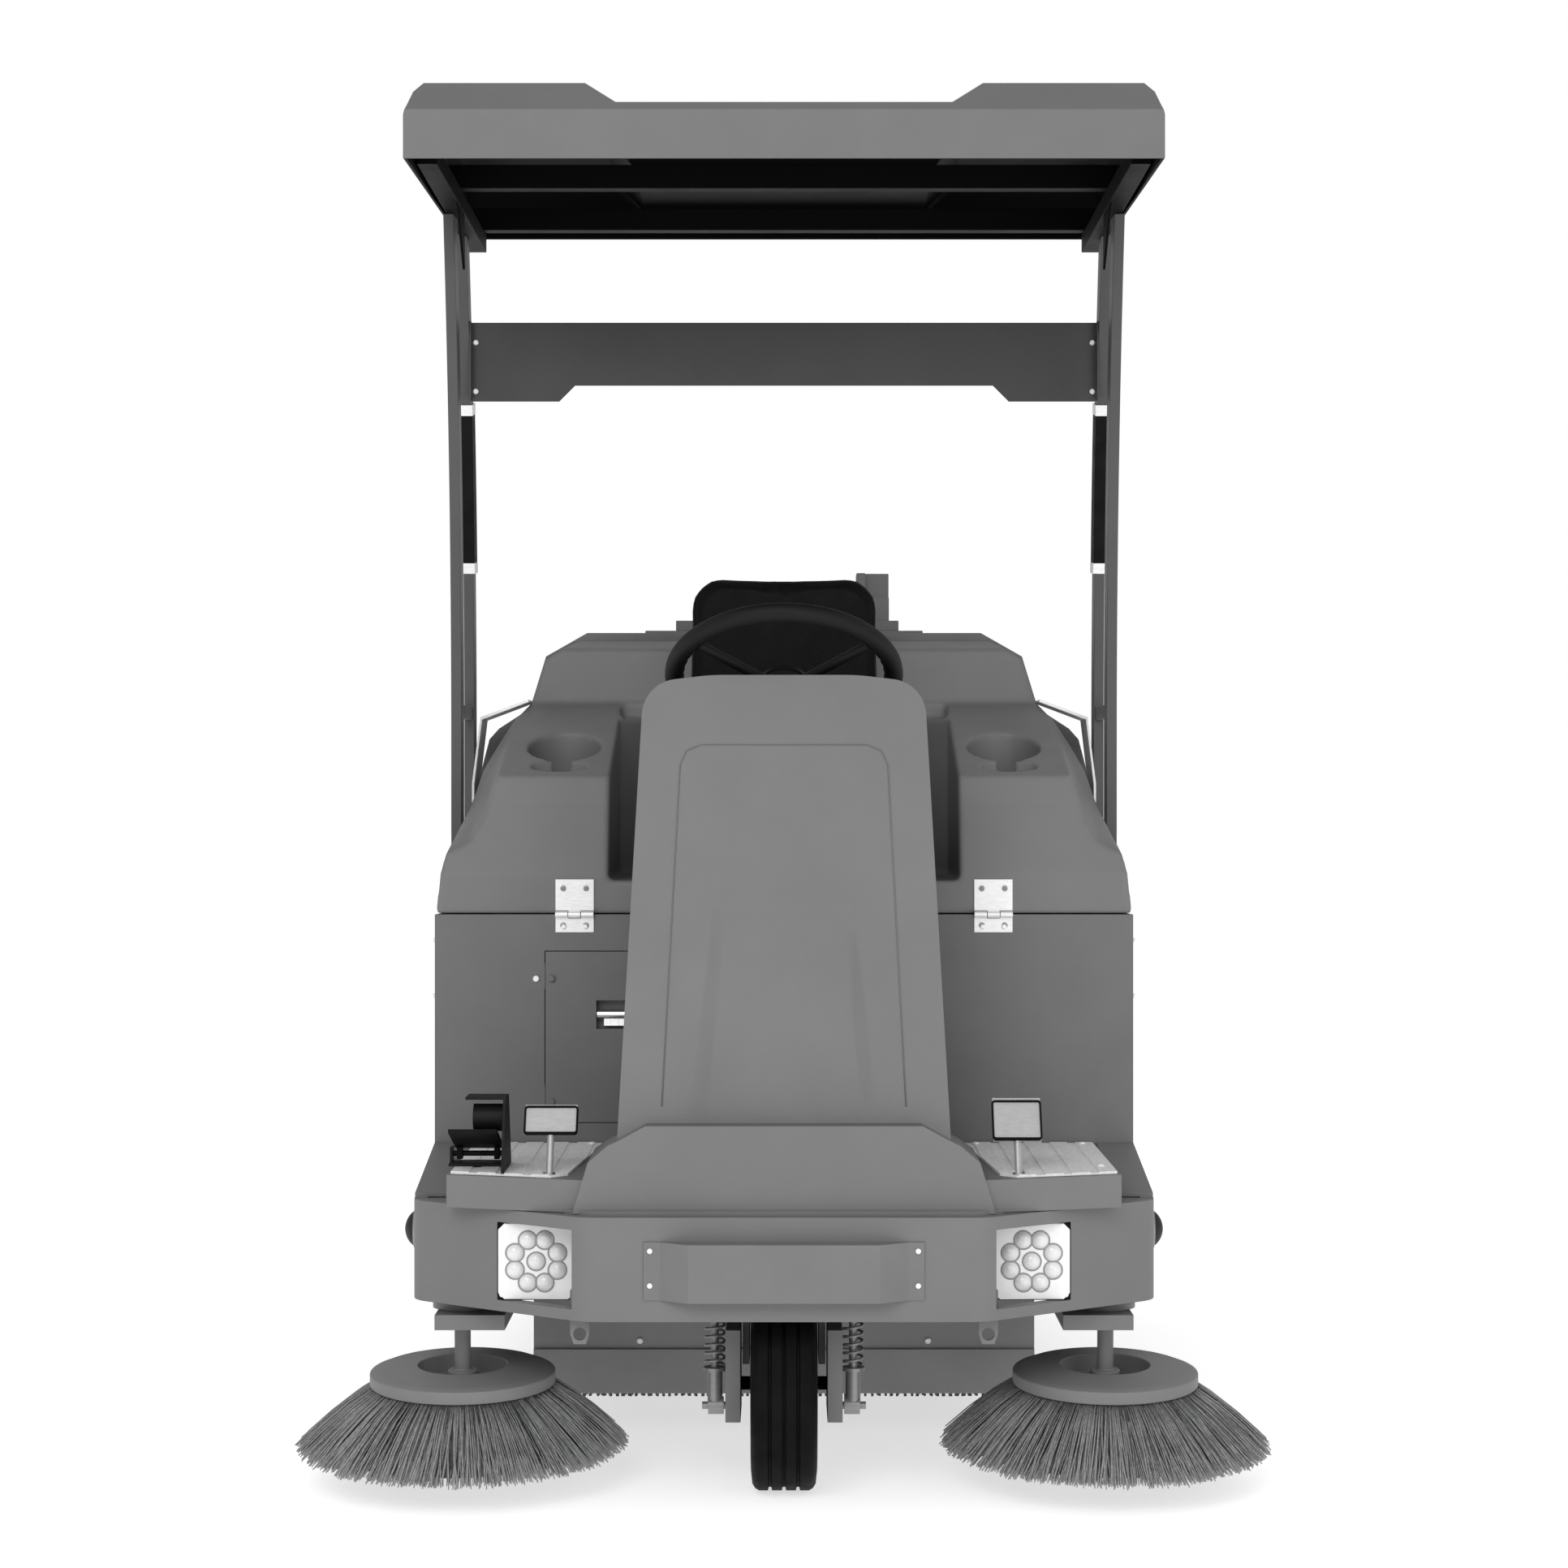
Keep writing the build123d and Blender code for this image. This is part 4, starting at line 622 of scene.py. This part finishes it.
# rear wheels: block tread, dished rim with five nuts
rearWheel = {"centreX": 0.415, "y": 0.54, "radius": 0.175, "half": 0.0448, "bore": 0.105, "blockDepth": 0.006,
             "nutCircle": 0.062, "nutAt": 0.0118, "nutStep": 1.2566,
             "rim": [(-0.041, 0.0), (-0.041, 0.09), (-0.04, 0.105), (0.041, 0.105), (0.041, 0.091),
                     (0.036, 0.0895), (0.014, 0.088), (0.012, 0.08), (0.012, 0.045), (0.016, 0.037),
                     (0.039, 0.034), (0.041, 0.031), (0.041, 0.0)]}


def blockTread(along, radius, step):
    deep = radius > 0.172 and abs(along) > 0.010 and (step + (2 if along > 0 else 0)) % 5 == 0
    return radius - rearWheel["blockDepth"] if deep else radius


tread, edge = rearWheel["radius"], rearWheel["half"]
rearProfile = mirrored([(edge - 0.004, rearWheel["bore"]), (edge, 0.115), (edge - 0.001, 0.14),
                        (edge - 0.003, 0.16), (edge - 0.007, tread - 0.003), (edge - 0.011, tread),
                        (0.011, tread), (0.0095, tread - 0.006), (0.004, tread - 0.006)])
for side, label in ((1, "right"), (-1, "left")):
    place = facing((side * rearWheel["centreX"], rearWheel["y"], tread), (side, 0, 0))
    body = "rear_wheel_" + label
    makePiece(label + "RearTyre", [turned(rearProfile, place, 180, blockTread)], "tyreRubber", body,
              (body,), 35)
    nuts = []
    for k in range(5):
        turn = k * rearWheel["nutStep"]
        nuts += screwHead(place @ Matrix.Translation((rearWheel["nutCircle"] * math.cos(turn),
                                                      rearWheel["nutCircle"] * math.sin(turn),
                                                      rearWheel["nutAt"])), 0.009, 0.008)
    makePiece(label + "RearRim", [turned(rearWheel["rim"], place, 72)], "coverGrey", body, sharp=35)
    makePiece(label + "RearNuts", nuts, "steelPlate", body, sharp=35)
print("wheels made")


# steering wheel rim with finger grips, and a cap in its middle
steeringWheel = {"centre": (0, -0.54, 1.206), "lean": 32.0, "radius": 0.168, "rim": 0.015, "grips": 44,
                 "gripDepth": 0.13, "steps": 264, "sides": 20,
                 "cap": [(-0.009, 0.034), (-0.003, 0.034), (-0.001, 0.031), (0.0, 0.0)]}
lean = math.radians(steeringWheel["lean"])
wheelPlace = facing(steeringWheel["centre"], (0, math.sin(lean), math.cos(lean)))
vertices, faces = [], []
steps, sides = steeringWheel["steps"], steeringWheel["sides"]
for s in range(steps):
    turn = 2 * math.pi * s / steps
    for k in range(sides):
        around = 2 * math.pi * k / sides
        inside = max(0.0, -math.cos(around)) * (0.5 - 0.5 * math.cos(turn * steeringWheel["grips"]))
        size = steeringWheel["rim"] * (1 - steeringWheel["gripDepth"] * inside)
        reach = steeringWheel["radius"] + size * math.cos(around)
        point = Vector((reach * math.cos(turn), reach * math.sin(turn), size * math.sin(around)))
        vertices.append(wheelPlace @ point)
for s in range(steps):
    a, b = s * sides, (s + 1) % steps * sides
    faces += [(a + k, b + k, b + (k + 1) % sides, a + (k + 1) % sides) for k in range(sides)]
makePiece("wheelRimGrip", [(vertices, faces)], "blackPlastic", "steering_wheel",
          ("steering_wheel_rim",))
makePiece("wheelCap", [turned(steeringWheel["cap"], wheelPlace, 48)], "blackPlastic", "steering_wheel")
print("steering wheel made")


# lamps: a dark gasket round each plate and a dark ring round each dome
lamps = {"x": 0.358, "y": -0.822, "z": 0.3505, "half": 0.0553, "ringRadius": 0.033, "dome": 0.0128}
dome = lamps["dome"]
domeRing = [(0, dome + 0.0016), (0.0012, dome + 0.0012), (0.0014, dome), (0.0, dome - 0.0008)]
spots = [(0, 0)]
for quarter in range(4):
    for turn in (22, 68):
        angle = math.radians(90 * quarter + turn)
        spots.append((lamps["ringRadius"] * math.cos(angle), lamps["ringRadius"] * math.sin(angle)))
gaskets, rings = [], []
for side in (1, -1):
    front = facing((side * lamps["x"], lamps["y"] + 0.0045, lamps["z"]), (0, -1, 0))
    gaskets.append(frameRing(front, lamps["half"], lamps["half"], 0.009, 0.0022, 0.005))
    for x, z in spots:
        spot = facing((side * lamps["x"] + x, lamps["y"], lamps["z"] + z), (0, -1, 0))
        rings.append(turned(domeRing, spot, 28))
makePiece("lampGaskets", gaskets, "rubber", "chassis")
makePiece("lampRings", rings, "springSteel", "chassis")

# screws on the hinge leaves, above on the hood and below on the box
hinges = {"x": 0.329, "spread": 0.018, "y": -0.432, "upper": 0.876, "lower": 0.818,
          "radius": 0.0045, "rise": 0.0022}
for body, level in (("hood", "upper"), ("chassis", "lower")):
    heads = []
    for side in (1, -1):
        for shift in (1, -1):
            x = side * hinges["x"] + shift * hinges["spread"]
            place = facing((x, hinges["y"], hinges[level]), (0, -1, 0))
            heads += screwHead(place, hinges["radius"], hinges["rise"])
    makePiece(level + "HingeScrews", heads, "springSteel", body, sharp=35)

# black rubber edging round the two pedal pads
pedals = {"y": -0.774, "z": 0.549, "tilt": -32.0, "edge": 0.0032, "corner": 0.004, "thickness": 0.0106,
          "halfHeight": {"brake": 0.021, "parking": 0.03}}
for label, halfHeight in pedals["halfHeight"].items():
    low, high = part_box(label + "_pedal")
    place = Matrix.Translation(((low[0] + high[0]) / 2, pedals["y"], pedals["z"]))
    place = place @ Matrix.Rotation(math.radians(pedals["tilt"]), 4, "X")
    place = place @ Matrix.Rotation(math.radians(90), 4, "X")
    halfWidth = (high[0] - low[0]) / 2
    rim = frameRing(place, halfWidth, halfHeight, pedals["corner"], pedals["edge"], pedals["thickness"])
    makePiece(label + "PadEdge", [rim], "rubber", label)

# line round the console's front, a raised bead in a darker grey that is partly painted shade for its shadow line;
# tread bolts and marker rims
console = {"frontY": -0.84, "crestZ": 0.552, "slope": 200 / 648, "foot": (0.176, 0.575), "top": (0.154, 1.098),
           "corner": 0.03, "line": 0.0013}
(footX, footZ), (topX, topZ), bend = console["foot"], console["top"], console["corner"]
leftSide = [(-footX, footZ), (-topX - 0.001, topZ - bend), (-topX + bend * 0.3, topZ - bend * 0.3),
            (-topX + bend, topZ)]
line = [Vector((x, console["frontY"] + (z - console["crestZ"]) * console["slope"], z))
        for x, z in leftSide + [(-x, z) for x, z in leftSide[::-1]]]
makePiece("consoleLine", [tubeRun(line, console["line"], 6)], "wallGrey", "chassis")

treads = {"bolts": ((0.466, -0.455), (0.300, -0.455), (0.466, -0.735)), "top": 0.4779, "radius": 0.0055,
          "rise": 0.0025}
bolts = []
for side in (1, -1):
    for x, y in treads["bolts"]:
        bolts += screwHead(facing((side * x, y, treads["top"]), (0, 0, 1)), treads["radius"], treads["rise"])
makePiece("treadBolts", bolts, "brightPlate", "chassis", sharp=35)

markers = {"place": (0.549, -0.66, 0.375),
           "rim": [(-0.001, 0.0315), (0.002, 0.0315), (0.0035, 0.030), (0.003, 0.0285)]}
markerX, markerY, markerZ = markers["place"]
rims = [turned(markers["rim"], facing((side * markerX, markerY, markerZ), (side, 0, 0)), 40) for side in (1, -1)]
makePiece("markerRims", rims, "springSteel", "chassis")
print("lamps, hinges and pedals trimmed")


# seat: pads puffed up as cloth, then piped along their seams
pads = {"voxel": 0.0065, "pressure": 4.0, "frames": 20, "pull": 0.0025, "stretch": 22, "bend": 2, "proud": 0.002,
        "piping": 0.0024, "pipingSteps": 180}
padShapes = {"seat_cushion": {"name": "seatCushionPad", "cap": 0.009, "axis": 2, "seamAt": (0.966, 0.918)},
             "seat_back": {"name": "seatBackPad", "cap": 0.010, "axis": 1, "seamAt": (-0.086, -0.046)}}


def seamPath(tree, middle, axis, level):
    # points where the pad's skin is cut by a plane at level along axis
    across, along = [k for k in range(3) if k != axis]
    path = []
    for step in range(pads["pipingSteps"]):
        turn = 2 * math.pi * step / pads["pipingSteps"]
        outward = Vector((0, 0, 0))
        outward[across], outward[along] = math.cos(turn), math.sin(turn)
        origin = middle.copy()
        origin[axis] = level
        hit = tree.ray_cast(origin + outward * 0.6, -outward)[0]
        if hit:
            path.append(hit)
    return path


def clothResult(pad):
    # blows the pad up as cloth and gives its points when it has settled
    cloth = pad.modifiers.new("cloth", "CLOTH")
    cloth.settings.use_pressure = True
    cloth.settings.uniform_pressure_force = pads["pressure"]
    cloth.settings.effector_weights.gravity = 0
    cloth.settings.quality = 5
    cloth.settings.tension_stiffness = pads["stretch"]
    cloth.settings.compression_stiffness = pads["stretch"]
    cloth.settings.bending_stiffness = pads["bend"]
    cloth.point_cache.frame_end = pads["frames"]
    for number in range(1, pads["frames"] + 1):
        scene.frame_set(number)
    puffed = pad.evaluated_get(bpy.context.evaluated_depsgraph_get()).to_mesh()
    moved = [vertex.co.copy() for vertex in puffed.vertices]
    pad.modifiers.clear()
    return moved


def puffPad(node, settings):
    start = cleanCopy(node, settings["name"] + "Start", False)
    low, high = (Vector(c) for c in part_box(node))
    middle, size = (low + high) / 2, high - low
    for vertex in start.vertices:
        for k in range(3):
            vertex.co[k] = middle[k] + (vertex.co[k] - middle[k]) * (1 - 2 * pads["pull"] / size[k])
    pad = bpy.data.objects.new(settings["name"], start)
    scene.collection.objects.link(pad)
    remesh = pad.modifiers.new("even", "REMESH")
    remesh.mode = "VOXEL"
    remesh.voxel_size = pads["voxel"]
    pad.data = bpy.data.meshes.new_from_object(pad.evaluated_get(bpy.context.evaluated_depsgraph_get()))
    pad.modifiers.clear()
    rest = [vertex.co.copy() for vertex in pad.data.vertices]
    moved = clothResult(pad)
    cap, resting = settings["cap"], settings["axis"] == 2      # a cushion that rests stays flat underneath
    for vertex, old, new in zip(pad.data.vertices, rest, moved):
        shift = new - old
        if shift.length > cap:
            shift *= cap / shift.length
        place = old + shift
        for k in range(3):
            below = 0.0 if k == 2 and resting else -pads["proud"]
            place[k] = min(high[k] + pads["proud"], max(low[k] + below, place[k]))
        vertex.co = place
    scene.frame_set(1)
    pad.data.update()
    pad.data.shade_smooth()
    pad.data.materials.clear()
    pad.data.materials.append(finishes["vinyl"])
    tree = BVHTree.FromObject(pad, bpy.context.evaluated_depsgraph_get())
    finer = pad.modifiers.new("finer", "SUBSURF")
    finer.levels = finer.render_levels = 1
    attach(pad, "hood")
    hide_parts(node)
    seams = [tubeRun(seamPath(tree, middle, settings["axis"], level), pads["piping"], 8, True)
             for level in settings["seamAt"]]
    makePiece(settings["name"] + "Piping", seams, "seam", "hood")


for node, settings in padShapes.items():
    puffPad(node, settings)
print("seat made")


# floor and lights
studio = {"floor": 60.0, "floorGrey": 0.8, "glow": 0.62, "world": 0.56,
          "keyPlace": (-1.5, -6.5, 4.2), "keySize": (4.0, 3.0), "keyPower": 150.0,
          "fillPlace": (3.2, -5.5, 2.0), "fillSize": (3.0, 3.0), "fillPower": 54.0, "aim": (0, 0, 0.9)}
floorMesh = meshFrom("studioFloor", [(-1, -1, 0), (1, -1, 0), (1, 1, 0), (-1, 1, 0)], [(0, 1, 2, 3)], False)
floorMesh.transform(Matrix.Scale(studio["floor"], 4))
studioFloor = bpy.data.objects.new("studioFloor", floorMesh)
scene.collection.objects.link(studioFloor)
floorPaint, floorShader = startMaterial("floorPaint", grey(studio["floorGrey"]), 0.9)
varyColor(floorPaint, floorShader, grey(studio["floorGrey"]), 0.01, 2.0)
floorShader.inputs["Emission Color"].default_value = (1, 1, 1, 1)
floorShader.inputs["Emission Strength"].default_value = studio["glow"]
floorMesh.materials.append(floorPaint)

world = bpy.data.worlds.new("studioWorld")
world.use_nodes = True
sky = world.node_tree.nodes["Background"]
sky.inputs["Color"].default_value = (1, 1, 1, 1)
backdrop = world.node_tree.nodes.new("ShaderNodeMapRange")     # white behind the machine, softer as a light
backdrop.inputs["To Min"].default_value = studio["world"]
backdrop.inputs["To Max"].default_value = 1.0
rays = world.node_tree.nodes.new("ShaderNodeLightPath")
world.node_tree.links.new(rays.outputs["Is Camera Ray"], backdrop.inputs["Value"])
world.node_tree.links.new(backdrop.outputs["Result"], sky.inputs["Strength"])
scene.world = world


def softBox(name, place, target, size, power):
    light = bpy.data.lights.new(name, "AREA")
    light.shape = "RECTANGLE"
    light.size, light.size_y = size
    light.energy = power
    lamp = bpy.data.objects.new(name, light)
    lamp.location = place
    lamp.rotation_euler = (Vector(target) - Vector(place)).to_track_quat("-Z", "Y").to_euler()
    scene.collection.objects.link(lamp)


softBox("keyBox", studio["keyPlace"], studio["aim"], studio["keySize"], studio["keyPower"])
softBox("fillBox", studio["fillPlace"], studio["aim"], studio["fillSize"], studio["fillPower"])
